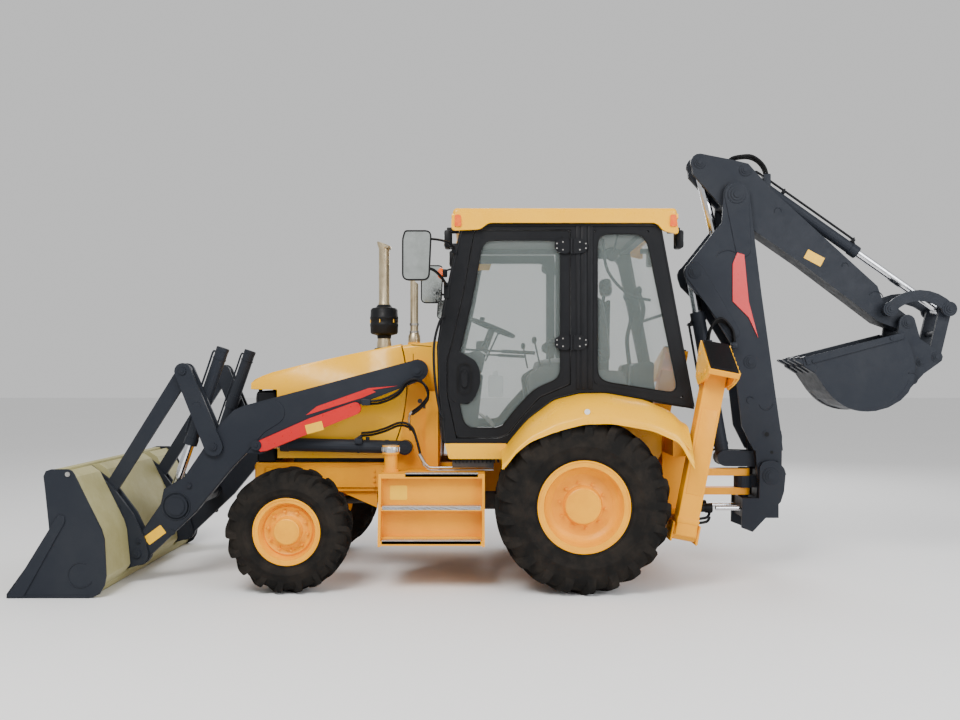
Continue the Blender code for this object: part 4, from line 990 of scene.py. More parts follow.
    def _plates(self, row: Copier) -> None:
        """Covers, gussets and bolts along the side rails."""
        shape = Shape()
        for side in (1, -1):
            y = (side * 0.379, side * 0.396)
            shape.plate([(1.53, 0.72), (2.50, 0.72), (2.50, 0.885), (1.72, 0.885), (1.60, 0.905),
                         (1.53, 0.905)], y, 0.003)
            shape.plate([(1.60, 0.55), (1.92, 0.69), (1.60, 0.69)], (side * 0.34, side * 0.352), 0.002)
        shape.done("rail_covers", ORANGE)
        for side, sign in SIDES:
            bolt = Shape().pin((1.62, 0.86), 0.013, (sign * 0.395, sign * 0.410), 6, 0.001)
            row.lay(f"rail_bolts_{side}", bolt, ORANGE, Body.CHASSIS, 4, step=Vector((0, 0, -0.042)))
            grid = Shape().block((0.62, 0.632), (sign * 0.60, sign * 0.775), (0.955, 0.984), 0.001)
            row.lay(f"sill_louvres_{side}", grid, TRIM, Body.CHASSIS, 12, step=Vector((0.03, 0, 0)))
        under = Shape().rod(at((1.0, 0.62)), at((2.1, 0.56)), 0.035, steps=24).block(
            (0.35, 1.05), (-0.24, 0.24), (0.52, 0.80), 0.03).block((1.10, 1.55), (-0.22, 0.22), (0.56, 0.76),
                                                                   0.03)
        under.rod(at((0.10, 0.64)), at((0.42, 0.62)), 0.05, steps=24).done("driveline", IRON)


# ------------------------------------------------------------------ cab

CREST: tuple[Pair, ...] = ((-0.78, 1.25), (-0.70, 1.34), (-0.50, 1.43), (-0.20, 1.483), (0.0, 1.48),
                           (0.20, 1.43),
                           (0.40, 1.28), (0.50, 1.165), (0.56, 1.09), (0.60, 1.03))


def crest(x: float) -> float:
    """Height of the fender's crest at x, a little above the plain skin below."""
    for (x0, z0), (x1, z1) in zip(CREST, CREST[1:]):
        if x <= x1:
            return z0 + (z1 - z0) * (x - x0) / (x1 - x0)
    return CREST[-1][1]


@dataclass
class Cab:
    """Fenders, roof, glass, doors' fittings, mirrors, lamps and the inside."""
    hinge_z: tuple[float, float] = (1.88, 2.62)
    door: tuple[Pair, ...] = ((0.943, 1.15), (1.013, 1.48), (1.016, 1.74), (0.977, 1.88), (0.889, 2.27),
                              (0.804, 2.74), (0.075, 2.74), (0.075, 1.56), (0.31, 1.46), (0.45, 1.305),
                              (0.55, 1.175), (0.62, 1.15))
    rear: tuple[Pair, ...] = ((-0.11, 1.565), (-0.11, 2.74), (-0.53, 2.74), (-0.795, 1.455))
    shell: tuple[Pair, ...] = ((1.03, 1.105), (1.075, 1.50), (1.085, 1.85), (1.04, 2.15), (0.965, 2.50),
                               (0.89, 2.812), (-0.61, 2.812), (-0.878, 1.375), (-0.50, 1.447), (-0.20, 1.50),
                               (0.0, 1.497), (0.20, 1.447), (0.40, 1.297), (0.50, 1.182), (0.565, 1.105))

    def build(self, row: Copier, ring: Copier) -> None:
        """Build every piece of the cab."""
        self._fenders()
        self._roof()
        self._frames()
        self._panes()
        self._hinges()
        self._handles()
        self._mirrors()
        self._lamps()
        self._inside(row)
        self._wheel()
        self._seat()
        self._levers()
        self._wiper()

    def _fenders(self) -> None:
        """Smooth fender skins, rolled down and lipped at their outer edge."""
        across = [(0.606, 0.0), (0.70, 0.0), (0.80, 0.001), (0.87, 0.008), (0.94, 0.026), (1.00, 0.050),
                  (1.05, 0.080), (1.09, 0.113), (1.12, 0.140), (1.145, 0.163), (1.152, 0.178), (1.153, 0.215)]
        xs = [-0.80 + 1.405 * i / 56 for i in range(57)]
        for side, sign in SIDES:
            rows = []
            for x in xs:
                share = 1.0 if x < 0.2 else max(0.5, 1 - (x - 0.2) / 0.6)
                height = sum(crest(min(0.6, max(-0.78, x + d))) for d in (-0.03, 0.0, 0.03)) / 3 + 0.009
                tail = 0.10 * max(0.0, (-0.66 - x) / 0.14) ** 2
                rows.append([at((x, height - drop * share - tail * max(0.0, (y - 0.95) / 0.2)), sign * y)
                             for y, drop in across])
            Shape().surface(rows).done(f"fender_{side}", YELLOW, Body.CHASSIS, 50, thick=0.006 * sign)
            lip = Shape().tube([row[-1] for row in rows], 0.006, 8)
            lip.done(f"fender_lip_{side}", YELLOW)
            Shape().plate(arc((-0.02, 1.36), 0.021, 0, 342, 20), (sign * 1.1275, sign * 1.1290), 0).done(
                f"fender_dot_{side}", LENS)
            wedge = rounded([(0.565, 0.985), (1.005, 0.985), (1.035, 1.095), (1.035, 1.103), (0.56, 1.103)],
                            0.012)
            Shape().plate(wedge, (sign * 0.60, sign * 0.792), 0.004).done(f"sill_{side}", YELLOW)

    def _roof(self) -> None:
        """A crowned roof with drooped corner housings."""
        slab = Shape().block((-0.747, 0.975), (-0.812, 0.812), (2.8123, 2.912), 0.034, 5)
        slab.block((-0.60, 0.80), (-0.62, 0.62), (2.90, 2.921), 0.010, 3)
        side = rounded([(0.985, 2.735), (0.985, 2.83), (0.935, 2.895), (-0.655, 2.895), (-0.735, 2.86),
                        (-0.757, 2.705), (-0.635, 2.735), (-0.585, 2.795), (0.70, 2.795), (0.765, 2.745)],
                        0.03)
        for sign in (1, -1):
            slab.plate(side, (sign * 0.783, sign * 0.817), 0.004)
        for x0, x1 in ((0.885, 0.985), (-0.757, -0.66)):
            for sign in (1, -1):
                slab.block((x0, x1), (sign * 0.70, sign * 0.80), (2.825, 2.87), 0.01)
        slab.done("roof_shell", YELLOW, Body.CHASSIS, 35, instead=["cab_roof"])
        ribs = Shape()
        for y in (-0.42, -0.14, 0.14, 0.42):
            ribs.block((-0.50, 0.70), (y - 0.03, y + 0.03), (2.916, 2.926), 0.004)
        ribs.done("roof_ribs", YELLOW)
        Shape().block((-0.56, 0.85), (-0.72, 0.72), (2.790, 2.806), 0.004).done("roof_lining", LINING)
        seal = Shape()
        for sign in (1, -1):
            seal.block((-0.60, 0.80), (sign * 0.779, sign * 0.789), (2.772, 2.800), 0.003)
        seal.done("roof_gutter", TRIM)

    def _frames(self) -> None:
        """Rounded window surrounds, rubber seals and the fluted door post."""
        for side, sign in SIDES:
            door_body = f"door_{side}"
            outer = rounded(grown(self.door, -0.045), 0.05)
            inner = rounded(grown(self.door, -0.072), 0.09)
            Shape().ring(outer, inner, (sign * 0.744,
                                        sign * 0.7755)).done(f"door_surround_{side}", TRIM, door_body)
            edge = rounded(grown(self.door, -0.001), 0.03)
            Shape().loop([at(p, sign * 0.7745) for p in edge], 0.0055,
                         8).done(f"door_seal_{side}", HOSE, door_body)
            Shape().loop([at(p, sign * 0.7762) for p in rounded(grown(self.door, -0.073), 0.09)], 0.004,
                         8).done(
                f"door_glass_seal_{side}", HOSE, door_body)
            outer, inner = rounded(grown(self.rear, 0.004), 0.05), rounded(grown(self.rear, -0.026), 0.10)
            Shape().ring(outer, inner, (sign * 0.738, sign * 0.7835)).done(f"rear_surround_{side}", TRIM)
            Shape().loop([at(p, sign * 0.7840) for p in inner], 0.004, 8).done(
                f"rear_glass_seal_{side}", HOSE)
            post = Shape()
            for x0, x1 in ((-0.100, -0.062), (-0.052, -0.010), (0.000, 0.028)):
                post.block((x0, x1), (sign * 0.772, sign * 0.7865), (1.52, 2.79), 0.005)
            post.done(f"door_post_{side}", TRIM)
            Shape().tube([at((x + 0.003, z), sign * 0.776) for x, z in self.shell[:6]], 0.011, 8).done(
                f"front_post_{side}", TRIM)
            Shape().tube([at(p, sign * 0.778) for p in self.shell[7:]], 0.008, 8).done(
                f"fender_seal_{side}", HOSE)
            Shape().tube([at((-0.613, 2.80), sign * 0.774), at((-0.875, 1.385), sign * 0.774)], 0.011,
                         8).done(
                f"rear_post_{side}", TRIM)
            rail = smooth_path([at(p, sign * 0.80) for p in (
                (1.035, 2.08), (1.075, 2.04), (1.118, 1.86), (1.112, 1.60), (1.075, 1.36), (1.045, 1.30))])
            Shape().tube(rail, 0.010, 10).done(f"grab_rail_{side}", TRIM)

    def _panes(self) -> None:
        """Flat side panes, a curved windscreen and a rear pane."""
        for side, sign in SIDES:
            Shape().plate(rounded(grown(self.door, -0.050), 0.05), (sign * 0.757, sign * 0.762), 0).done(
                f"door_pane_{side}", GLASS, f"door_{side}")
            Shape().plate(rounded(grown(self.rear, -0.004), 0.06), (sign * 0.757, sign * 0.762), 0).done(
                f"rear_side_pane_{side}", GLASS)
        rows = []
        for x, z in ((1.056, 1.63), (1.060, 1.85), (1.017, 2.15), (0.942, 2.50), (0.878, 2.77)):
            rows.append([at((x - 0.018 * (y / 0.73) ** 2, z),
                            y) for y in (-0.73, -0.45, -0.15, 0.15, 0.45, 0.73)])
        Shape().surface(rows).done("windscreen", GLASS, Body.CHASSIS, 60, thick=0.005)
        rows = []
        for x, z in ((-0.838, 1.47), (-0.608, 2.74)):
            rows.append([at((x, z), y) for y in (-0.73, -0.25, 0.25, 0.73)])
        Shape().surface(rows).done("rear_pane", GLASS, Body.CHASSIS, 60, thick=0.005)
        bar_ = Shape()
        bar_.rod(at((-0.72, 2.12), -0.73), at((-0.72, 2.12), 0.73), 0.014, steps=12)
        bar_.done("rear_window_bar", TRIM)

    def _hinges(self) -> None:
        """Cast double-leaf hinges with four rivets on each leaf."""
        for side, sign in SIDES:
            for level, z in zip(("low", "high"), self.hinge_z):
                for part, x, way, body in (("post", 0.052, -1, Body.CHASSIS),
                                           ("door", 0.078, 1, f"door_{side}")):
                    wide = 0.115 * way
                    line = rounded([(x, z - 0.058), (x + 0.55 * wide, z - 0.058), (x + wide, z - 0.03),
                                    (x + wide, z + 0.03), (x + 0.55 * wide, z + 0.058), (x, z + 0.058)], 0.02)
                    if part == "post":
                        line = [(min(px, 0.0505), pz) for px, pz in line]
                    leaf = Shape().plate(line,
                                         (sign * 0.7835 if part == "post" else sign * 0.779, sign * 0.797),
                                         0.003)
                    leaf.done(f"hinge_{part}_{level}_{side}", TRIM, body)
                    dots = Shape()
                    for dx, dz in ((0.45, 0.03), (0.45, -0.03), (0.85, 0.018), (0.85, -0.018)):
                        dots.pin((x + dx * wide, z + dz), 0.0055, (sign * 0.796, sign * 0.800), 12, 0.0015)
                    dots.done(f"hinge_rivets_{part}_{level}_{side}", STEEL, body)

    def _handles(self) -> None:
        """The door's handle housing and its lever."""
        for side, sign in SIDES:
            pod = rounded([(0.985, 1.835), (1.008, 1.74), (1.005, 1.50), (0.985, 1.42), (0.86, 1.40),
                           (0.80, 1.46),
                           (0.765, 1.56), (0.765, 1.66), (0.80, 1.74), (0.90, 1.80)], 0.06)
            Shape().plate(pod, (sign * 0.742, sign * 0.7800),
                          0.008).done(f"handle_pod_{side}", TRIM, f"door_{side}")
            dish = bar((0.885, 1.535), 0.052, (0.885, 1.665), 0.052)
            Shape().ring(grown(dish, 0.006), grown(dish, -0.008), (sign * 0.779, sign * 0.787)).done(
                f"handle_rim_{side}", HOSE, f"door_{side}")
            lever = Shape().plate(bar((0.885, 1.55), 0.021, (0.885, 1.645), 0.026),
                                  (sign * 0.779, sign * 0.800), 0.006)
            lever.pin((0.885, 1.655), 0.012, (sign * 0.79, sign * 0.806), 20)
            lever.done(f"handle_lever_{side}", TRIM, f"door_{side}")

    def _mirrors(self) -> None:
        """Tall mirrors on double arms, and a small one further in."""
        for side, sign in SIDES:
            x, y, z = 1.233, sign * 1.12, 2.506
            wide, tall = 0.115, 0.183
            line = rounded([(x - wide, z - tall), (x + wide - 0.03, z - tall), (x + wide, z + tall - 0.06),
                            (x + wide - 0.012, z + tall), (x - wide + 0.02, z + tall)], 0.05)
            line = [(px - 0.10 * (pz - z), pz) for px, pz in line]
            Shape().plate(line, (y - 0.03, y + 0.012), 0.010).done(f"mirror_shell_{side}", TRIM)
            Shape().ring(grown(line, 0.001), grown(line, -0.010), (y + 0.006, y + 0.018)).done(
                f"mirror_rim_{side}", HOSE)
            Shape().plate(grown(line, -0.010), (y + 0.010, y + 0.0135), 0).done(
                f"mirror_face_{side}", MIRROR)
            arms = Shape()
            arms.tube(smooth_path([at((0.955, 2.60), sign * 0.775), at((1.02, 2.635), sign * 0.92),
                                   at((1.13, 2.632), y - 0.03), at((1.20, 2.62), y - 0.02)]), 0.009, 10)
            arms.tube(smooth_path([at((1.01, 2.30), sign * 0.775), at((1.06, 2.37), sign * 0.92),
                                   at((1.12, 2.41), y - 0.04), at((1.20, 2.41), y - 0.02)]), 0.011, 10)
            arms.block((0.94, 0.985), (sign * 0.765, sign * 0.80), (2.56, 2.64), 0.006)
            arms.block((1.00, 1.045), (sign * 0.765, sign * 0.80), (2.22, 2.34), 0.006)
            arms.done(f"mirror_arms_{side}", TRIM)
        small = rounded([(1.085, 2.13), (1.175, 2.17), (1.165, 2.33), (1.075, 2.34)], 0.03)
        Shape().plate(small, (-0.93, -0.90), 0.006).done("small_mirror_shell", TRIM)
        Shape().plate(grown(small, -0.008), (-0.902, -0.8985), 0).done("small_mirror_face", MIRROR)

    def _lamps(self) -> None:
        """Amber corner lamps, work lamps front and rear, and a round marker."""
        lamps, shells, clear = Shape(), Shape(), Shape()
        for sign in (1, -1):
            for x in (0.935, -0.712):
                line = rounded([(x - 0.028, 2.765), (x + 0.026, 2.765), (x + 0.022, 2.855),
                                (x - 0.022, 2.855)], 0.012)
                lamps.plate(line, (sign * 0.812, sign * 0.829), 0.005)
            lamps.lathe([(0.0, -0.02), (0.04, -0.02), (0.045, 0.0), (0.03, 0.018), (0.0, 0.024)],
                        at((1.075, 2.42), sign * 0.70), Vector((1, 0, 0)), 28, closed=False)
            shells.block((1.02, 1.06), (sign * 0.67, sign * 0.73), (2.39, 2.45), 0.01)
            for x0, x1, nose in ((0.985, 1.045, 1.0), (-0.82, -0.762, -1.0)):
                shells.block((x0, x1), (sign * 0.56, sign * 0.70), (2.62, 2.76), 0.016)
                face = x1 if nose > 0 else x0
                clear.rod(at((face - 0.002 * nose, 2.69), sign * 0.63),
                          at((face + 0.004 * nose, 2.69), sign * 0.63),
                          0.052, 0.048, 28)
                back = 0.93 if nose > 0 else -0.70
                shells.block((min(back, face - 0.02 * nose), max(back, face - 0.02 * nose)),
                             (sign * 0.61, sign * 0.65),
                             (2.74, 2.785), 0.006)
        lamps.done("amber_lamps", AMBER)
        shells.done("work_lamp_shells", TRIM)
        clear.done("work_lamp_lenses", LENS)

    def _inside(self, row: Copier) -> None:
        """Mat, side consoles, dash details and a gauge hood."""
        Shape().block((-0.55, 0.98), (-0.56, 0.56), (1.1052, 1.114), 0.003).done("floor_mat", HOSE)
        rib = Shape().block((-0.52, -0.50), (-0.54, 0.54), (1.113, 1.118), 0.001)
        row.lay("mat_ribs", rib, HOSE, Body.CHASSIS, 48, step=Vector((0.03, 0, 0)))
        for side, sign in SIDES:
            console = rounded([(-0.42, 1.35), (0.36, 1.35), (0.40, 1.62), (0.28, 1.70), (-0.38, 1.66)], 0.04)
            Shape().plate(console, (sign * 0.36, sign * 0.56), 0.015).done(f"side_console_{side}", PLASTIC)
            inner = [(-0.62, 1.13), (-0.64, 1.36), (-0.50, 1.42), (-0.20, 1.468), (0.0, 1.465), (0.20, 1.41),
                     (0.40, 1.26),
                     (0.50, 1.14)]
            Shape().plate(inner, (sign * 0.586, sign * 0.599), 0.002).done(f"wheel_box_{side}", LINING)
        dash = Shape()
        dash.plate(rounded([(0.985, 1.68), (0.90, 1.80), (0.78, 1.84), (0.72, 1.79), (0.75, 1.64)], 0.03),
                   (-0.24, 0.24), 0.012)
        dash.block((0.90, 1.0), (-0.52, 0.52), (1.60, 1.70), 0.02)
        dash.done("dash_hood", PLASTIC)
        dials = Shape()
        way = Vector((-0.55, 0, 0.8)).normalized()
        for y in (-0.13, 0.0, 0.13):
            spot = at((0.747, 1.815), y)
            dials.rod(spot, spot + way * 0.012, 0.042, 0.040, 28)
        dials.done("dash_dials", LENS)
        pedals = Shape()
        for y in (-0.20, -0.08, 0.16):
            pedals.plate(rounded([(0.64, 1.20), (0.66, 1.19), (0.72, 1.27), (0.70, 1.285)], 0.006),
                         (y - 0.035, y + 0.035))
            pedals.rod(at((0.685, 1.235), y), at((0.79, 1.32), y), 0.009, steps=10)
        pedals.done("pedals", STEEL)
        bottle = Shape().block((0.58, 0.70), (0.38, 0.50), (1.45, 1.63), 0.02).rod(
            at((0.64, 1.62), 0.44), at((0.64, 1.66), 0.44), 0.02, steps=20)
        bottle.done("washer_bottle", GLASS)
        Shape().plate(rounded([(0.80, 2.60), (0.68, 2.60), (0.66, 2.66), (0.78, 2.66)], 0.008),
                      (-0.742, -0.7405), 0).done(
            "far_pane_sticker", STICKER)

    def _wheel(self) -> None:
        """A padded steering wheel rim over the console's column."""
        turn = Matrix.Translation(at((0.66, 2.03))) @ Matrix.Rotation(math.radians(-22), 4, "Y")
        rim = [turn @ Vector((0.19 * math.cos(math.tau * k / 48), 0.19 * math.sin(math.tau * k / 48),
                              0)) for k in range(48)]
        Shape().loop(rim, 0.0175, 12).done("wheel_grip", HOSE, Body.CHASSIS, 60)
        hub = Shape().lathe([(0.0, -0.02), (0.05, -0.018), (0.055, 0.012), (0.04, 0.026), (0.0, 0.03)],
                            Vector((0, 0, 0)),
                            UP, 32, closed=False).moved(turn)
        hub.rod(turn @ Vector((0.10, 0.05, 0.0)), turn @ Vector((0.11, 0.055, 0.05)), 0.018, 0.022, 16)
        hub.done("wheel_hub", TRIM)
        stalk = Shape().tube([at((0.755, 1.86), 0.0), at((0.73, 1.90), 0.10), at((0.70, 1.94), 0.20)], 0.008,
                             8)
        stalk.block((0.70, 0.80), (-0.055, 0.055), (1.80, 1.92), 0.02).done("column_shroud", PLASTIC)

    def _pad(self, name: str, size: Point, crown: float, matrix: Matrix) -> Thing:
        """A crowned cushion whose sides pull in between its corners.

        Args:
            name: The piece's name.
            size: Half length, half width and half thickness.
            crown: How far its middle swells.
            matrix: Where it goes.

        Returns:
            The cushion.
        """
        shape = Shape()
        bmesh.ops.create_cube(shape.mesh, size=2)
        bmesh.ops.subdivide_edges(shape.mesh, edges=shape.mesh.edges[:], cuts=11, use_grid_fill=True)
        for vert in shape.mesh.verts:
            u, v, w = vert.co
            swell = (1 - u * u) * (1 - v * v)
            pull = 1 - 0.03 * (1 - min(1.0, abs(u) + abs(v)))
            channel = 0.006 * (abs(w) > 0.9) * sum(
                math.exp(-((u - s) / 0.05) ** 2) for s in (-0.45, 0.0, 0.45))
            round_u = math.sqrt(max(0.0, 1 - 0.24 * v * v - 0.10 * w * w))
            round_v = math.sqrt(max(0.0, 1 - 0.24 * u * u - 0.10 * w * w))
            top = size[2] + crown * swell - channel
            vert.co = (u * size[0] * round_u * pull, v * size[1] * round_v * pull,
                       w * top * (1 - 0.28 * max(abs(u), abs(v)) ** 6))
        shape.moved(matrix)
        obj = shape.raw(name, CLOTH, 180)
        soft = obj.modifiers.new("Soft", "SUBSURF")
        soft.levels = soft.render_levels = 1
        hang(obj)
        return obj

    def _seat(self) -> None:
        """A padded seat on a bellows base, with arm rests and a head rest."""
        base = Matrix.Translation(at((0.05, 1.695)))
        seat = self._pad("seat_cushion", (0.265, 0.25, 0.058), 0.022, base)
        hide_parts("seat")
        lean = Matrix.Translation(at((-0.245, 2.0))) @ Matrix.Rotation(math.radians(-83), 4, "Y")
        self._pad("seat_back", (0.29, 0.245, 0.052), 0.020, lean)
        head = Matrix.Translation(at((-0.300, 2.37))) @ Matrix.Rotation(math.radians(-83), 4, "Y")
        self._pad("head_rest", (0.075, 0.13, 0.040), 0.012, head)
        frame_ = Shape()
        frame_.rod(at((-0.275, 2.22), -0.06), at((-0.295, 2.36), -0.06), 0.007, steps=10)
        frame_.rod(at((-0.275, 2.22), 0.06), at((-0.295, 2.36), 0.06), 0.007, steps=10)
        frame_.block((-0.18, 0.28), (-0.22, 0.22), (1.612, 1.642), 0.006)
        frame_.plate(rounded([(-0.30, 1.62), (-0.20, 1.62), (-0.285, 2.25), (-0.315, 2.25)], 0.01),
                     (-0.20, 0.20), 0.004)
        frame_.done("seat_frame", TRIM)
        bellows = Shape()
        outline = [(0.0, 1.106), (0.21, 1.106), (0.21, 1.18)]
        for k in range(6):
            outline += [(0.185, 1.20 + 0.068 * k), (0.212, 1.234 + 0.068 * k)]
        outline += [(0.19, 1.61), (0.0, 1.61)]
        bellows.lathe(outline, at((0.06, 0)), UP, 40, closed=False)
        bellows.done("seat_bellows", HOSE)
        for side, sign in SIDES:
            rest = Shape().block((-0.20, 0.16), (sign * 0.265, sign * 0.33), (1.90, 1.945), 0.018, 3)
            rest.rod(at((-0.22, 1.80), sign * 0.26), at((-0.16, 1.92), sign * 0.30), 0.014, steps=12)
            rest.done(f"arm_rest_{side}", PLASTIC)

    def _levers(self) -> None:
        """Gear and loader levers, and the backhoe's tall levers behind the seat."""
        sticks, knobs = Shape(), Shape()
        for x, y, z, tall, lean in ((0.28, 0.44, 1.69, 0.22, 0.05), (0.20, 0.47, 1.69, 0.18, 0.03),
                                    (0.72, -0.16, 1.75, 0.26, -0.12), (0.34, -0.44, 1.69, 0.20, 0.04)):
            sticks.rod(at((x, z), y), at((x + lean, z + tall), y), 0.007, steps=10)
            knobs.lathe([(0.0, -0.03), (0.014, -0.026), (0.022, 0.0), (0.014, 0.024), (0.0, 0.03)],
                        at((x + lean, z + tall), y), UP, 20, closed=False)
        tower = rounded([(-0.62, 1.12), (-0.44, 1.12), (-0.47, 1.72), (-0.64, 1.74)], 0.03)
        for y in (-0.30, 0.30):
            sticks.plate(tower, (y - 0.11, y + 0.11), 0.01)
            for k in range(3):
                yy = y + (k - 1) * 0.07
                sticks.tube(smooth_path([at((-0.55, 1.72), yy), at((-0.53, 1.95), yy), at((-0.57, 2.16), yy),
                                         at((-0.53, 2.30), yy)]), 0.008, 10)
                knobs.lathe([(0.0, -0.035), (0.014, -0.03), (0.023, 0.0), (0.014, 0.026), (0.0, 0.032)],
                            at((-0.527, 2.32), yy), Vector((0.2, 0, 1)), 20, closed=False)
        sticks.done("control_levers", TRIM)
        knobs.done("lever_knobs", HOSE)
        fan = Shape().lathe([(0.0, 0.0), (0.05, 0.0), (0.058, 0.012), (0.05, 0.024), (0.0, 0.024)],
                            at((-0.30, 2.60), 0.45),
                            Vector((0.4, -1, 0)), 28, closed=False)
        fan.rod(at((-0.30, 2.60), 0.45), at((-0.34, 2.79), 0.50), 0.008, steps=8)
        fan.done("cab_fan", TRIM)
        Shape().tube(smooth_path([at((-0.20, 2.70), 0.60), at((-0.24, 2.45), 0.60), at((-0.40, 2.27), 0.59),
                                  at((-0.58, 2.22), 0.58)]), 0.012, 10).done("inner_grab_bar", TRIM)

    def _wiper(self) -> None:
        """Windscreen wiper and a gas strut at the near door."""
        arm = Shape().tube([at((1.075, 1.70), 0.10), at((1.078, 1.95), 0.18), at((1.050, 2.20), 0.28)], 0.006,
                           8)
        arm.tube([at((1.082, 1.88), 0.36), at((1.050, 2.20), 0.28), at((0.995, 2.46), 0.18)], 0.007, 6)
        arm.block((1.068, 1.10), (0.05, 0.15), (1.64, 1.73), 0.01)
        arm.done("windscreen_wiper", TRIM)
        for side, sign in SIDES:
            strut = Shape().rod(at((0.93, 1.83), sign * 0.735), at((0.34, 1.80), sign * 0.735), 0.008,
                                steps=12)
            strut.rod(at((0.60, 1.813), sign * 0.735), at((0.34, 1.80), sign * 0.735), 0.014, steps=14)
            strut.done(f"door_bar_{side}", TRIM, f"door_{side}")


# ------------------------------------------------------------------ loader

@dataclass
class Loader:
    """The loading bucket, its plates and edge, and fittings along the arm."""
    lift_eye: Pair = (2.504, 1.081)
    pivot: Pair = (1.260, 1.668)
    crank: Pair = (2.851, 1.067)
    crank_top: Pair = (3.093, 1.659)
    link_pin: Pair = (3.703, 0.688)
    bucket_pin: Pair = (3.451, 0.232)
    cross: Pair = (3.150, 0.600)
    half: float = 1.15

    def build(self, row: Copier) -> None:
        """Build every piece of the loader."""
        self._shell()
        self._cheeks(row)
        self._ears()
        self._doublers()
        self._strut()
        self._pins()
        self._glands()
        self._hoses()

    def _shell(self) -> None:
        """The curved khaki shell with its creases, and the cutting edge."""
        back = [(3.66, 0.0), (3.62, 0.0), (3.597, 0.018), (3.585, 0.05), (3.585, 0.34), (3.63, 0.455),
                (3.745, 0.565),
                (3.845, 0.68), (3.86, 0.905), (3.90, 0.905), (3.868, 0.668), (3.762, 0.545), (3.650, 0.438),
                (3.607, 0.335), (3.607, 0.06), (3.615, 0.04), (3.64, 0.024), (4.10, 0.022), (4.10, 0.0)]
        Shape().plate(back, (-self.half + 0.01, self.half - 0.01), 0).done(
            "bucket_shell", KHAKI, Body.BUCKET, 25, instead=["loader_bucket"])
        skin = [(3.585, 0.05), (3.578, 0.06), (3.578, 0.345), (3.5785, 0.345), (3.585, 0.34)]
        Shape().plate([(3.584, 0.30), (3.573, 0.30), (3.573, 0.312), (3.584, 0.312)], (-1.12, 1.12),
                      0.001).plate(
            skin, (-1.12, 1.12), 0).done("bucket_creases", KHAKI, Body.BUCKET)
        rear = [(3.497, 0.16), (3.505, 0.14), (3.59, 0.05), (3.60, 0.35), (3.64, 0.46), (3.755, 0.575),
                (3.85, 0.69),
                (3.875, 0.91), (3.80, 0.925), (3.733, 0.880), (3.545, 0.502), (3.523, 0.427)]
        outer = Shape()
        for y0, y1 in ((0.66, 1.128), (-0.51, 0.51)):
            outer.plate(rear, (y0, y1), 0.002)
            if y0 > 0:
                outer.plate(rear, (-y1, -y0), 0.002)
        outer.done("bucket_back", KHAKI, Body.BUCKET, 25)
        edge = [(4.222, 0.0), (4.09, 0.0), (4.09, 0.026), (4.15, 0.026)]
        Shape().plate(edge, (-self.half + 0.02, self.half - 0.02),
                      0.001).done("cutting_edge", STEEL, Body.BUCKET)
        lip = Shape().block((3.852, 3.915), (-1.125, 1.125), (0.895, 0.935), 0.012)
        lip.done("bucket_lip", KHAKI, Body.BUCKET)

    def _cheeks(self, row: Copier) -> None:
        """Slate side plates with a wear strip, a worn edge and a round boss."""
        side = [(4.225, 0.0), (3.60, 0.0), (3.545, 0.03), (3.51, 0.09), (3.497, 0.16), (3.510, 0.427),
                (3.532, 0.502),
                (3.733, 0.905), (3.748, 0.928), (3.775, 0.941), (3.90, 0.941), (3.938, 0.928), (3.955, 0.89),
                (3.905, 0.464), (4.225, 0.030)]
        shape = Shape()
        shape.plate(side, (self.half - 0.022, self.half), 0.003).both()
        shape.done("bucket_sides", SLATE, Body.BUCKET, 30)
        strip = Shape()
        for sign in (1, -1):
            strip.plate([(4.215, 0.004), (4.10, 0.004), (3.795, 0.555), (3.80, 0.60), (3.845, 0.61),
                         (3.87, 0.565)],
                        (sign * (self.half - 0.001), sign * (self.half + 0.012)), 0.003)
            strip.plate([(4.18, 0.002), (3.62, 0.002), (3.62, 0.020), (4.17, 0.020)],
                        (sign * (self.half - 0.03), sign * (self.half + 0.006)), 0.002)
        strip.done("bucket_wear_strips", SLATE, Body.BUCKET, 30)
        bead = Shape()
        for sign in (1, -1):
            bead.weld(arc((3.680, 0.168), 0.092, -150, 120, 28), sign * (self.half + 0.001), 0.004, False)
            bead.weld(rounded([(4.215, 0.004), (4.10, 0.004), (3.795, 0.555), (3.80, 0.60), (3.845, 0.61),
                               (3.87, 0.565)], 0.02), sign * (self.half + 0.001), 0.0035)
        bead.done("bucket_weld_beads", SLATE, Body.BUCKET)
        rivet = Shape()
        for sign in (1, -1):
            rivet.pin((3.775, 0.905), 0.018, (sign * (self.half - 0.002), sign * (self.half + 0.012)), 24,
                      0.004)
        rivet.done("bucket_side_bolts", STEEL, Body.BUCKET)
        tooth = Shape().block((4.06, 4.14), (-1.10, -1.02), (0.022, 0.034), 0.004).rod(
            at((4.10, 0.030), -1.06), at((4.10, 0.044), -1.06), 0.014, steps=8)
        row.lay("edge_bolts", tooth, STEEL, Body.BUCKET, 11, step=Vector((0, 0.212, 0)))

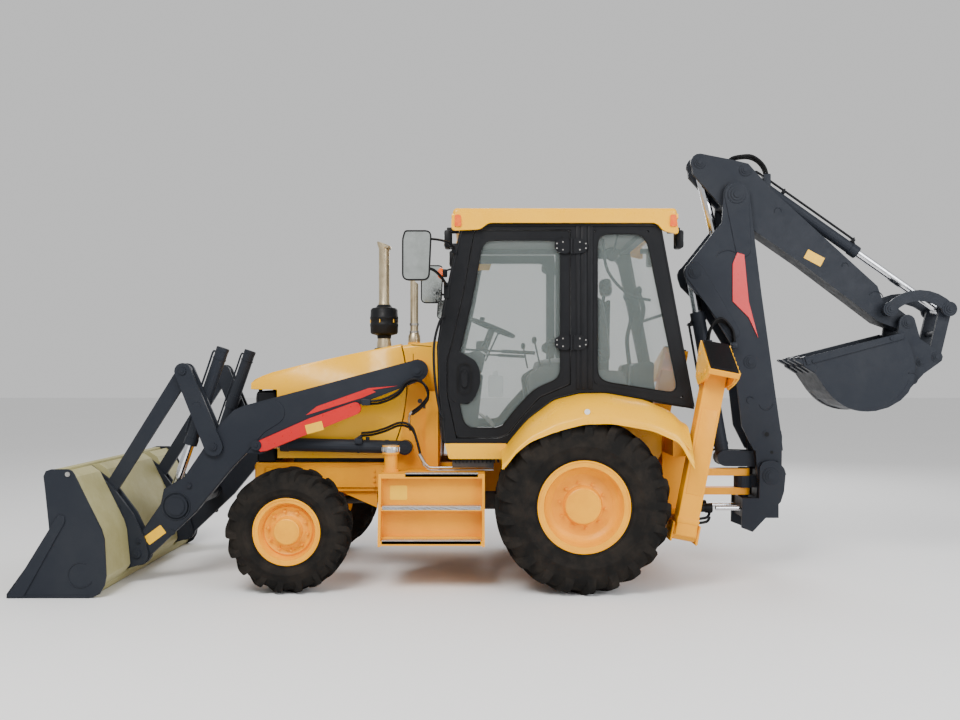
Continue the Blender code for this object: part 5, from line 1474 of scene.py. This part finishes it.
    def _ears(self) -> None:
        """Slate ears behind the shell that hold the arm and the links."""
        ear = [(3.875, 0.885), (3.845, 0.912), (3.645, 0.757), (3.485, 0.545), (3.388, 0.342), (3.360, 0.232),
               (3.372, 0.185), (3.400, 0.152), (3.46, 0.135), (3.592, 0.095), (3.597, 0.34), (3.64, 0.45),
               (3.755, 0.56), (3.857, 0.68)]
        shape = Shape()
        for y in ((0.6215, 0.6485), (0.5218, 0.5488)):
            shape.plate(ear, y, 0.002)
        shape.both().done("bucket_ears", SLATE, Body.BUCKET, 30)
        caps = Shape()
        for sign in (1, -1):
            for pin_, radius in ((self.bucket_pin, 0.036), (self.link_pin, 0.034), ((3.60, 0.60), 0.022),
                                 ((3.44, 0.33), 0.018)):
                caps.pin(pin_, radius, (sign * 0.64, sign * 0.662), 28, 0.004)
                caps.pin(pin_, radius * 0.45, (sign * 0.66, sign * 0.668), 6, 0.001)
            caps.pin(self.link_pin, 0.028, (sign * 0.545, sign * 0.625), 20, 0)
        caps.done("bucket_pin_heads", SLATE, Body.BUCKET)

    def _doublers(self) -> None:
        """Doubler plates on the arm's knee, the cross tube's cap, and stickers."""
        plate = [(2.70, 1.346), (2.62, 1.380), (2.44, 1.424)]
        plate += arc((2.40, 1.335), 0.095, 80, 235, 14)
        plate += [(2.46, 1.185), (2.60, 1.03), (2.72, 0.905), (3.01, 0.552), (3.355, 0.225), (3.44, 0.355),
                  (3.266, 0.612),
                  (3.241, 0.727), (3.082, 0.822), (2.80, 1.236)]
        shape, bead = Shape(), Shape()
        for sign in (1, -1):
            shape.plate(plate, (sign * 0.612, sign * 0.6205), 0.002)
            bead.weld(plate, sign * 0.6165, 0.0045)
            bead.weld([(self.cross[0] + 0.108 * math.cos(math.tau * k / 40),
                        self.cross[1] + 0.108 * math.sin(math.tau * k / 40))
                       for k in range(40)], sign * 0.6205, 0.006)
            shape.pin(self.cross, 0.096, (sign * 0.615, sign * 0.632), 48, 0.005)
            shape.pin(self.cross, 0.074, (sign * 0.63, sign * 0.640), 48, 0.005)
            shape.pin((3.05, 0.76), 0.022, (sign * 0.615, sign * 0.634), 24, 0.004)
            shape.pin((3.18, 0.395), 0.022, (sign * 0.615, sign * 0.630), 24, 0.004)
        shape.done("arm_doublers", SLATE, Body.ARM, 30)
        bead.done("arm_weld_beads", SLATE, Body.ARM)
        way = math.radians(36.5)
        for side, sign in SIDES:
            centre, long, tall = (3.318, 0.374), 0.082, 0.038
            line = []
            for u, v in ((-long, -tall), (long, -tall), (long, tall), (-long, tall)):
                line.append((centre[0] - u * math.cos(way) + v * math.sin(way),
                             centre[1] + u * math.sin(way) + v * math.cos(way)))
            Shape().plate(rounded(line, 0.008), (sign * 0.6195, sign * 0.6215), 0).done(
                f"arm_sticker_{side}", STICKER, Body.ARM)
            patch = [(2.135, 1.313), (2.050, 1.382), (1.640, 1.527), (1.585, 1.497), (1.690, 1.452)]
            Shape().plate(patch, (sign * 0.6145, sign * 0.6160), 0).done(f"arm_patch_{side}", RED, Body.ARM)
            Shape().plate([(1.640, 1.527), (1.41, 1.545), (1.62, 1.512)], (sign * 0.6145, sign * 0.6158),
                          0).done(
                f"arm_streak_{side}", RED, Body.ARM)

    def _strut(self) -> None:
        """The red safety strut carried along the arm."""
        for side, sign in SIDES:
            a, b = (2.520, 1.078), (1.745, 1.368)
            line = [(2.555, 1.092), (2.488, 1.026), (2.430, 1.036), *arc(b, 0.048, -112, -290, 12),
                    (2.10, 1.292)]
            Shape().plate(line, (sign * 0.619, sign * 0.637),
                          0.004).done(f"safety_strut_{side}", RED, Body.ARM, 30)
            way = math.radians(15)
            mark = []
            for u, v in ((-0.068, -0.036), (0.068, -0.036), (0.068, 0.036), (-0.068, 0.036)):
                mark.append((2.063 - u * math.cos(way) + v * math.sin(way),
                             1.218 + u * math.sin(way) + v * math.cos(way)))
            Shape().plate(mark, (sign * 0.6365, sign * 0.6380),
                          0).done(f"strut_sticker_{side}", STICKER, Body.ARM)
            pin_ = Shape().pin(a, 0.042, (sign * 0.612, sign * 0.646), 32, 0.005)
            pin_.pin(a, 0.016, (sign * 0.64, sign * 0.654), 6, 0.001)
            pin_.done(f"strut_pin_{side}", SLATE, Body.ARM)

    def _pins(self) -> None:
        """Pin heads at the arm's pivot, the cranks and the links."""
        heads = Shape()
        for sign in (1, -1):
            heads.pin(self.pivot, 0.052, (sign * 0.614, sign * 0.626), 36, 0.004)
            heads.pin(self.pivot, 0.030, (sign * 0.624, sign * 0.636), 28, 0.004)
            heads.pin((1.205, 1.640), 0.010, (sign * 0.614, sign * 0.626), 6, 0.001)
        heads.done("arm_pivot_heads", SLATE, Body.ARM)
        for side, sign in SIDES:
            crank = Shape()
            for pin_ in (self.crank, self.crank_top):
                crank.pin(pin_, 0.030, (sign * 0.650, sign * 0.664), 28, 0.004)
                crank.pin(pin_, 0.013, (sign * 0.662, sign * 0.670), 6, 0.001)
            crank.weld(arc((2.984, 1.387), 0.036, 20, 200, 14), sign * 0.6525, 0.003, False)
            crank.done(f"crank_pin_heads_{side}", SLATE, f"bellcrank_{side}")

    def _glands(self) -> None:
        """Collars, end caps and lugs of the loader's cylinders."""
        base, eye = Vector((1.364, 1.052)), Vector(self.lift_eye)
        mid, foot = Vector((2.984, 1.387)), Vector((3.216, 0.711))
        for side, sign in SIDES:
            way = (eye - base).normalized()
            y = sign * 0.485
            shape = Shape()
            for start, end, radius in ((0.925, 0.995, 0.058), (0.13, 0.165, 0.057), (0.36, 0.385, 0.057)):
                a, b = base + way * start, base + way * end
                shape.rod(at(tuple(a), y), at(tuple(b), y), radius, steps=36, bevel=0.004)
            a = base + way * 0.30
            shape.rod(at(tuple(a), y), at((a.x, a.y + 0.075), y), 0.016, steps=12)
            shape.pin(tuple(base), 0.050, (sign * 0.537, sign * 0.549), 32, 0.004)
            shape.pin(tuple(base), 0.026, (sign * 0.547, sign * 0.557), 24, 0.004)
            shape.done(f"lift_glands_{side}", SLATE, f"lift_barrel_{side}")
            way = (foot - mid).normalized()
            y = sign * 0.455
            shape = Shape()
            for start, end, radius in ((-0.487, -0.455, 0.0515), (-0.40, -0.385, 0.054),
                                       (0.275, 0.334, 0.055),
                                       (-0.06, 0.06, 0.056)):
                a, b = mid + way * start, mid + way * end
                shape.rod(at(tuple(a), y), at(tuple(b), y), radius, steps=32, bevel=0.003)
            pipe = [mid + way * s + Vector((-way.y, way.x)) * h for s, h in
                    ((-0.44, 0.05), (-0.43, 0.067), (-0.30, 0.067), (0.20, 0.067), (0.24, 0.055))]
            shape.tube(smooth_path([at(tuple(p), y) for p in pipe], 3), 0.008, 8)
            shape.done(f"tilt_glands_{side}", SLATE, f"tilt_barrel_{side}")

    def _hoses(self) -> None:
        """Hoses that loop from the frame to the arm and to the lift cylinders."""
        for side, sign in SIDES:
            for k, lift in enumerate((0.0, 0.022)):
                y = sign * (0.655 + 0.022 * k)
                points = [(1.669, 1.406 + lift), (1.542, 1.412 + lift), (1.407, 1.474 + lift),
                          (1.345, 1.550 + lift),
                          (1.264, 1.585 + lift * 0.6), (1.196, 1.550), (1.172, 1.474 - lift),
                          (1.225, 1.398 - lift),
                          (1.300, 1.340 - lift)]
                line = [at(p, y - sign * 0.05 * max(0.0, (i - 5) / 3)) for i, p in enumerate(points)]
                hose(f"arm_hose_{k + 1}_{side}", line[::-1], 0.0095, ("chassis", "loader_arm"),
                     (line[7], line[3]))
                points = [(1.700, 1.150 + lift), (1.610, 1.160 + lift), (1.509, 1.190 + lift),
                          (1.390, 1.236 + lift),
                          (1.297, 1.205 + lift), (1.252, 1.110), (1.228, 1.012)]
                line = [at(p, sign * (0.56 + 0.03 * min(5, i) + 0.018 * k)) for i, p in enumerate(points)]
                hose(f"lift_hose_{k + 1}_{side}", line[::-1], 0.0095, ("chassis", f"lift_barrel_{side}"),
                     (line[5], line[2]))
            fit = Shape()
            fit.rod(at((1.297, 1.345), sign * 0.60), at((1.318, 1.318), sign * 0.595), 0.013, steps=6)
            fit.tube(smooth_path([at((1.318, 1.318), sign * 0.595), at((1.325, 1.29), sign * 0.58),
                                  at((1.325, 1.235), sign * 0.55), at((1.322, 1.19), sign * 0.50)]), 0.010,
                                  10)
            fit.done(f"arm_hose_fitting_{side}", STEEL)
            joint = Shape().rod(at((1.70, 1.150), sign * 0.56), at((1.74, 1.120), sign * 0.55), 0.014,
                                steps=6)
            joint.block((1.70, 1.76), (sign * 0.50, sign * 0.565), (1.085, 1.13), 0.006)
            joint.done(f"lift_hose_fitting_{side}", SLATE, f"lift_barrel_{side}")
            clip = Shape().block((1.62, 1.69), (sign * 0.60, sign * 0.69), (1.392, 1.442), 0.006)
            clip.done(f"arm_hose_clip_{side}", SLATE, Body.ARM)


# ------------------------------------------------------------------ backhoe

@dataclass
class Backhoe:
    """Fittings of the digging arm: doublers, pins, pipes, hoses and the bucket's edge."""
    boom_y: float = 0.150
    dip_y: float = 0.10
    foot: Pair = (-1.65, 0.79)
    base: Pair = (-1.30, 0.93)
    lug: Pair = (-1.022, 2.489)
    elbow: Pair = (-1.374, 3.136)
    dip_base: Pair = (-1.487, 1.739)
    tail: Pair = (-1.078, 3.415)
    hoe_base: Pair = (-1.461, 3.351)
    rocker: Pair = (-2.642, 2.178)
    rocker_top: Pair = (-3.130, 2.178)
    hoe_pin: Pair = (-2.794, 2.066)
    link_pin: Pair = (-3.034, 1.779)

    def build(self, row: Copier) -> None:
        """Build every piece of the backhoe."""
        self._boom()
        self._dipper()
        self._bosses()
        self._glands()
        self._bucket(row)
        self._hoses()
        self._swing()

    def _boom(self) -> None:
        """Doublers with weld beads, hooks and the plain red flash."""
        shape, bead = Shape(), Shape()
        cheek = bar(self.lug, 0.078, (-1.352, 1.985), 0.045, 12)
        head = bar(self.elbow, 0.098, (-1.43, 2.68), 0.062, 12)
        for sign in (1, -1):
            y = sign * self.boom_y
            shape.plate(cheek, (y - sign * 0.002, y + sign * 0.007), 0.002)
            shape.plate(head, (y - sign * 0.002, y + sign * 0.007), 0.002)
            bead.weld(cheek, y + sign * 0.002, 0.004)
            bead.weld(head, y + sign * 0.002, 0.004)
            bead.weld(arc((-1.30, 2.555), 0.115, 35, 160, 14), y + sign * 0.002, 0.004, False)
            bead.weld(arc((-1.62, 1.395), 0.055, 185, 345, 14), y + sign * 0.002, 0.004, False)
            bead.weld(arc((-1.49, 1.42), 0.03, -60, 150, 10), y + sign * 0.002, 0.004, False)
            bead.weld(bar((-1.60, 0.86), 0.05, (-1.70, 0.90), 0.018, 10), y + sign * 0.004, 0.004)
            shape.pin((-1.625, 1.135), 0.032, (y - sign * 0.002, y + sign * 0.005), 28, 0.002)
        shape.done("boom_doublers", SLATE, Body.BOOM, 30)
        bead.done("boom_weld_beads", SLATE, Body.BOOM)
        hole = Shape()
        for sign in (1, -1):
            hole.pin((-1.625, 1.135), 0.020, (sign * 0.154, sign * 0.1562), 24, 0)
            hole.pin((-1.668, 0.985), 0.014, (sign * 0.149, sign * 0.1515), 20, 0)
            flash = [(-1.378, 2.650), (-1.436, 2.634), (-1.474, 2.244), (-1.552, 1.942), (-1.474, 2.110),
                     (-1.340, 2.244), (-1.340, 2.556)]
            Shape().plate(flash, (sign * 0.1498, sign * 0.1590), 0).done(
                "boom_flash_left" if sign > 0 else "boom_flash_right", RED, Body.BOOM)
        hole.done("boom_holes", HOSE, Body.BOOM)

    def _dipper(self) -> None:
        """Weld hooks and a blank sticker on the dipper."""
        bead = Shape()
        for sign in (1, -1):
            y = sign * (self.dip_y + 0.001)
            bead.weld(arc((-1.735, 3.005), 0.030, -30, 190, 10), y, 0.004, False)
            bead.weld(arc((-2.30, 2.545), 0.028, -20, 180, 10), y, 0.004, False)
            bead.weld(arc((-2.555, 2.27), 0.062, 30, 170, 12), y, 0.004, False)
            way = math.radians(-28)
            mark = []
            for u, v in ((-0.079, -0.04), (0.079, -0.04), (0.079, 0.04), (-0.079, 0.04)):
                mark.append((-2.040 - u * math.cos(way) + v * math.sin(way),
                             2.612 + u * math.sin(way) + v * math.cos(way)))
            Shape().plate(mark, (sign * 0.0995, sign * 0.1012), 0).done(
                "dipper_sticker_left" if sign > 0 else "dipper_sticker_right", STICKER, Body.DIPPER)
        bead.done("dipper_weld_beads", SLATE, Body.DIPPER)

    def _bosses(self) -> None:
        """Concentric pin bosses at every joint of the digging arm."""
        table: tuple[tuple[str, Pair, float, float], ...] = (
            (Body.BOOM, self.elbow, 0.157, 0.074), (Body.BOOM, self.lug, 0.157, 0.052),
            (Body.BOOM, self.dip_base, 0.150, 0.052), (Body.DIPPER, self.tail, 0.100, 0.050),
            (Body.DIPPER, self.hoe_base, 0.100, 0.050), (Body.POST, self.foot, 0.180, 0.066),
            (Body.HOE, self.hoe_pin, 0.165, 0.046), (Body.HOE, self.link_pin, 0.165, 0.040),
            (Body.HOE, (-2.90, 1.735), 0.165, 0.032))
        for number, (body, pin_, y, radius) in enumerate(table):
            shape = Shape()
            for sign in (1, -1):
                shape.pin(pin_, radius, (sign * (y - 0.002), sign * (y + 0.007)), 40, 0.003)
                shape.pin(pin_, radius * 0.72, (sign * (y + 0.006), sign * (y + 0.014)), 36, 0.004)
                shape.pin(pin_, radius * 0.42, (sign * (y + 0.013), sign * (y + 0.021)), 28, 0.003)
                shape.weld([(pin_[0] + (radius + 0.002) * math.cos(math.tau * k / 36),
                             pin_[1] + (radius + 0.002) * math.sin(math.tau * k / 36)) for k in range(36)],
                             sign * y, 0.0035)
            shape.done(f"pin_boss_{number + 1}", SLATE, body)
        shape = Shape()
        for sign in (1, -1):
            for pin_ in (self.rocker, self.rocker_top):
                shape.pin(pin_, 0.050, (sign * 0.198, sign * 0.206), 36, 0.003)
                shape.pin(pin_, 0.032, (sign * 0.205, sign * 0.213), 32, 0.003)
                shape.pin(pin_, 0.016, (sign * 0.212, sign * 0.219), 24, 0.002)
        shape.done("rocker_bosses", SLATE, "hoe_rocker")

    def _glands(self) -> None:
        """Collars, pipes and clamps of the digging arm's cylinders."""
        sets = (("boom_barrel", self.base, self.lug, 0.058, 1.25, -1),
                ("dipper_barrel", self.dip_base, self.tail, 0.052, 0.95, 1),
                ("hoe_bucket_barrel", self.hoe_base, self.rocker_top, 0.048, 1.19, -1))
        for body, base, eye, radius, length, up in sets:
            a, way = Vector(base), (Vector(eye) - Vector(base)).normalized()
            side = Vector((-way.y, way.x)) * up
            shape = Shape()
            for start, end, grow in ((length - 0.075, length + 0.003, 0.006), (0.10, 0.135, 0.004)):
                shape.rod(at(tuple(a + way * start)), at(tuple(a + way * end)), radius + grow, steps=36,
                          bevel=0.004)
            shape.done(f"{body}_gland", SLATE, body)
            run = ((0.08, radius), (0.09, radius + 0.022), (0.20, radius + 0.030),
                   (length - 0.16, radius + 0.030),
                   (length - 0.10, radius + 0.026), (length - 0.06, radius))
            pipe = Shape().tube(smooth_path([at(tuple(a + way * s + side * h)) for s, h in run], 4), 0.010,
                                10)
            for s in (0.32 * length, length - 0.09):
                spot = a + way * s + side * (radius + 0.018)
                pipe.rod(at(tuple(spot - way * 0.016)), at(tuple(spot + way * 0.016)), 0.022, steps=8)
                bolt = a + way * s + side * (radius + 0.040)
                pipe.rod(at(tuple(spot)), at(tuple(bolt + side * 0.008)), 0.007, steps=6)
            pipe.done(f"{body}_pipe", TRIM, body)

    def _bucket(self, row: Copier) -> None:
        """The digging bucket's lip band, side cutters and tooth adaptors."""
        shape = Shape()
        for sign in (1, -1):
            band = [(-1.905, 1.775), (-1.925, 1.712), (-2.72, 1.925), (-2.735, 1.985)]
            shape.plate(band, (sign * 0.246, sign * 0.262), 0.003)
            shape.weld(arc((-2.79, 1.60), 0.05, 60, 240, 10), sign * 0.252, 0.004, False)
            shape.pin((-1.975, 1.742), 0.013, (sign * 0.26, sign * 0.270), 12, 0.002)
            shape.pin((-2.62, 1.930), 0.015, (sign * 0.26, sign * 0.270), 12, 0.002)
            shape.plate(arc((-2.42, 1.72), 0.392, 200, 330, 18) + arc((-2.42, 1.72), 0.372, 330, 200, 18),
                        (sign * 0.20, sign * 0.252), 0)
        shape.done("hoe_bucket_bands", SLATE, Body.HOE, 30)
        tooth = Shape().plate([(-2.02, 1.70), (-1.99, 1.645), (-1.90, 1.700), (-1.885, 1.772),
                               (-1.92, 1.785)],
                              (-0.2525, -0.1825), 0.006)
        tooth.pin((-1.955, 1.72), 0.008, (-0.258, -0.177), 10, 0)
        row.lay("tooth_adaptors", tooth, SLATE, Body.HOE, 4, step=Vector((0, 0.145, 0)))

    def _hoses(self) -> None:
        """Hose loops over the elbow and beside the boom cylinder."""
        for k in range(3):
            y = -0.035 + 0.035 * k
            rise = 0.004 * k
            points = [(-1.32, 3.432), (-1.372, 3.462 + rise), (-1.45, 3.478 + rise), (-1.53, 3.478 + rise),
                      (-1.60, 3.445), (-1.648, 3.385), (-1.668, 3.315)]
            hose(f"elbow_hose_{k + 1}", [at(p, y) for p in points], 0.0105, (Body.DIPPER.value,))
        for k in range(3):
            y = 0.165 + 0.026 * k
            points = [(-1.13, 1.90), (-1.138, 1.98), (-1.175, 2.045 + 0.012 * k), (-1.231, 2.075 + 0.012 * k),
                      (-1.295, 2.05), (-1.335, 1.98), (-1.345, 1.88)]
            line = [at(p, y * (1 - 0.10 * abs(i - 3) / 3)) for i, p in enumerate(points)]
            hose(f"boom_hose_{k + 1}", line, 0.0105, (Body.BOOM.value,))
        clip = Shape().block((-1.365, -1.32), (0.148, 0.225), (1.85, 1.90), 0.006)
        clip.block((-1.155, -1.11), (0.10, 0.225), (1.875, 1.92), 0.006)
        clip.done("boom_hose_clips", SLATE, Body.BOOM)
        clip = Shape().block((-1.345, -1.30), (-0.06, 0.06), (3.425, 3.445), 0.004)
        clip.block((-1.69, -1.63), (-0.06, 0.06), (3.17, 3.33), 0.008)
        clip.done("elbow_hose_clips", SLATE, Body.DIPPER)

    def _swing(self) -> None:
        """Swing cylinders: barrels on the frame, rods on the post."""
        barrels, rods, glands = Shape(), Shape(), Shape()
        level, radius = 0.515, 0.034
        for y in (-0.11, 0.11):
            barrels.rod(at((-0.86, level), y), at((-1.15, level), y), radius, steps=28, bevel=0.003)
            glands.rod(at((-1.12, level), y), at((-1.178, level), y), radius + 0.007, steps=28, bevel=0.003)
            rods.rod(at((-1.208, level), y), at((-1.45, level), y), 0.020, steps=24)
        for z in (0.44, 0.405):
            barrels.tube(smooth_path([at((-0.88, z), 0.16), at((-1.0, z - 0.01), 0.165), at((-1.12, z), 0.15),
                                      at((-1.16, z + 0.03), 0.10)]), 0.012, 10)
        barrels.done("swing_barrels", TRIM)
        glands.done("swing_glands", HOSE)
        rods.done("swing_rods", CHROME, Body.POST)
        cap = Shape().rod(at((-1.47, 0.602)), at((-1.47, 0.6195)), 0.045, steps=32, bevel=0.003)
        cap.rod(at((-1.47, 0.8405)), at((-1.47, 0.847)), 0.045, steps=32, bevel=0.002)
        cap.done("swing_pin_caps", SLATE)


# ------------------------------------------------------------------ stabilizers

@dataclass
class Stabilizers:
    """Collars and wear plates of the legs, and their ribbed street pads."""
    foot: Pair = (-0.774, 0.44)
    y: float = 0.90
    length: float = 1.25
    lean: float = math.radians(11)
    tilt: float = math.radians(-26)

    def build(self, row: Copier) -> None:
        """Dress both legs and both pads."""
        for side, sign in SIDES:
            self._leg(side, sign)
            self._pad(row, side, sign)

    def _place(self, sign: int) -> Matrix:
        """From the leg's own frame to its place, mirrored for the right side."""
        stand = Matrix.Translation(at(self.foot, self.y)) @ Matrix.Rotation(-self.lean, 4, "Y")
        return (Matrix.Scale(-1, 4, (0, 1, 0)) if sign < 0 else Matrix.Identity(4)) @ stand

    def _leg(self, side: str, sign: int) -> None:
        """Foot collar, edge welds and wear plates."""
        shape = Shape()
        back = -AXLE
        shape.block((back - 0.0835, back + 0.0835), (-0.079, 0.079), (0.075, 0.118), 0.005)
        shape.block((back - 0.060, back + 0.060), (0.074, 0.079), (0.30, 0.95), 0.002)
        shape.block((back - 0.0825, back - 0.079), (-0.055, 0.055), (0.22, 1.02), 0.001)
        shape.moved(self._place(sign)).done(f"leg_collar_{side}", ORANGE, f"stabilizer_leg_{side}")

    def _pad(self, row: Copier, side: str, sign: int) -> None:
        """A rubber block of raised ribs between scalloped cheeks."""
        turned = Matrix.Rotation(self.tilt, 4, "X")
        place = self._place(sign) @ Matrix.Translation((0, 0, self.length - 0.05)) @ turned
        back, body = -AXLE, f"stabilizer_pad_{side}"
        shape = Shape().block((back - 0.104, back + 0.104), (-0.243, 0.243), (0.150, 0.176), 0.006)
        shape.moved(place).done(f"pad_rubber_{side}", HOSE, body)
        item = Shape().block((back - 0.100, back + 0.100), (-0.239, -0.228), (0.173, 0.1835), 0.002)
        ribs = row.lay(f"pad_ribs_{side}", item, HOSE, body, 28, step=Vector((0, 0.01735, 0)))
        ribs.data.transform(place)
        if sign < 0:
            ribs.data.flip_normals()
        cheeks = Shape()
        wave = [(-0.246, 0.172)]
        for k in range(13):
            a = -0.236 + 0.0393 * k
            wave += [(a, 0.158 + 0.010 * (k % 2))]
        wave += [(0.246, 0.172), (0.240, 0.118), (0.19, 0.05), (0.07, -0.058), (-0.07, -0.058), (-0.19, 0.05),
                 (-0.240, 0.118)]
        for x in (back - 0.1185, back + 0.1085):
            low = [cheeks.mesh.verts.new((x + AXLE, u, w)) for u, w in wave]
            high = [cheeks.mesh.verts.new((x + AXLE + 0.010, u, w)) for u, w in wave]
            cheeks.mesh.faces.new(low)
            cheeks.mesh.faces.new(high[::-1])
            for i in range(len(low)):
                cheeks.mesh.faces.new((low[i - 1], low[i], high[i], high[i - 1]))
            for u, w in ((-0.16, 0.10), (0.16, 0.10), (0.0, 0.0)):
                out = 1 if x > back else -1
                spot = Vector((x + AXLE + 0.005, u, w))
                cheeks.rod(spot, spot + Vector((0.011 * out, 0, 0)), 0.016, steps=12)
        cheeks.moved(place).done(f"pad_cheeks_{side}", YELLOW, body, 30)


# ------------------------------------------------------------------ carried-over nodes and studio

@dataclass
class Dressing:
    """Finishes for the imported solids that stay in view."""
    rules: tuple[tuple[tuple[str, ...], Finish], ...] = (
        (("_rod",), CHROME), (("seat",), CLOTH), (("console",), PLASTIC), (("cab_base",), YELLOW),
        (("cab_frame", "door_", "radiator_guard"), TRIM), (("engine_block",), IRON),
        (("main_frame", "rear_frame", "front_axle", "rear_axle", "knuckle", "step_tank", "stabilizer_leg"),
         ORANGE),
        (("stabilizer_pad",), ORANGE))

    def dress(self) -> None:
        """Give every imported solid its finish; what no rule names is slate."""
        for name, obj in frame["nodes"].items():
            finish = next((f for words, f in self.rules if any(w in name for w in words)), SLATE)
            obj.data.materials.clear()
            obj.data.materials.append(finish.make())


@dataclass
class Studio:
    """A pale floor, soft lights and the camera."""
    stand: Point = (0.2495, 8.15, 1.63)
    lens: float = 35.96
    shift: float = 0.0156

    def build(self) -> None:
        """Build the floor, the lights and the camera."""
        data = bpy.data.meshes.new("floor")
        size = 60.0
        data.from_pydata([(-size, -size, -0.0005), (size, -size, -0.0005), (size, size, -0.0005),
                          (-size, size, -0.0005)],
                         [], [(0, 1, 2, 3)])
        floor = bpy.data.objects.new("floor", data)
        bpy.context.scene.collection.objects.link(floor)
        data.materials.append(Finish("floor_paint", (0.86, 0.86, 0.86), (0.83, 0.83, 0.83), 0.4, 0.4, 0.9,
                                     bump=0.0).make())
        world = bpy.data.worlds.new("sky")
        bpy.context.scene.world = world
        world.use_nodes = True
        sky = world.node_tree.nodes["Background"]
        sky.inputs[0].default_value = (1.0, 1.0, 1.0, 1)
        sky.inputs[1].default_value = 0.72
        for name, place, size, power, tint in (
                ("key", (3.0, 7.0, 8.0), 4.0, 950, (1.0, 0.98, 0.95)),
                ("fill", (-5.5, 6.5, 4.0), 5.0, 450, (0.95, 0.97, 1.0)),
                ("back", (-2.0, -7.5, 6.0), 5.0, 420, (1.0, 1.0, 1.0))):
            light = bpy.data.lights.new(name, "AREA")
            light.energy, light.size, light.color = power, size, tint
            lamp = bpy.data.objects.new(name, light)
            lamp.location = place
            lamp.rotation_euler = (Vector((0, 0, 1.4)) - Vector(place)).to_track_quat("-Z", "Y").to_euler()
            bpy.context.scene.collection.objects.link(lamp)
        eye = bpy.data.cameras.new("camera")
        eye.lens, eye.sensor_width, eye.shift_y = self.lens, 36.0, self.shift
        camera = bpy.data.objects.new("camera", eye)
        camera.location = self.stand
        camera.rotation_euler = (math.pi / 2, 0, math.pi)
        bpy.context.scene.collection.objects.link(camera)
        bpy.context.scene.camera = camera


def main() -> None:
    """Build the studio first, then each sub-assembly in order."""
    Studio().build()
    Dressing().dress()
    ring, row = Copier(Repeat.RING), Copier(Repeat.ROW)
    Wheel("front", 2.20, 0.467, 0.175, 0.222, 0.252, -0.06, 18, 10, 0.147).build(ring)
    Wheel("rear", 0.0, 0.657, 0.2475, 0.305, 0.345, -0.08, 21, 10, 0.172).build(ring)
    Chassis().build(row)
    Cab().build(row, ring)
    Loader().build(row)
    Backhoe().build(row)
    Stabilizers().build(row)


if __name__ == "__main__":
    main()
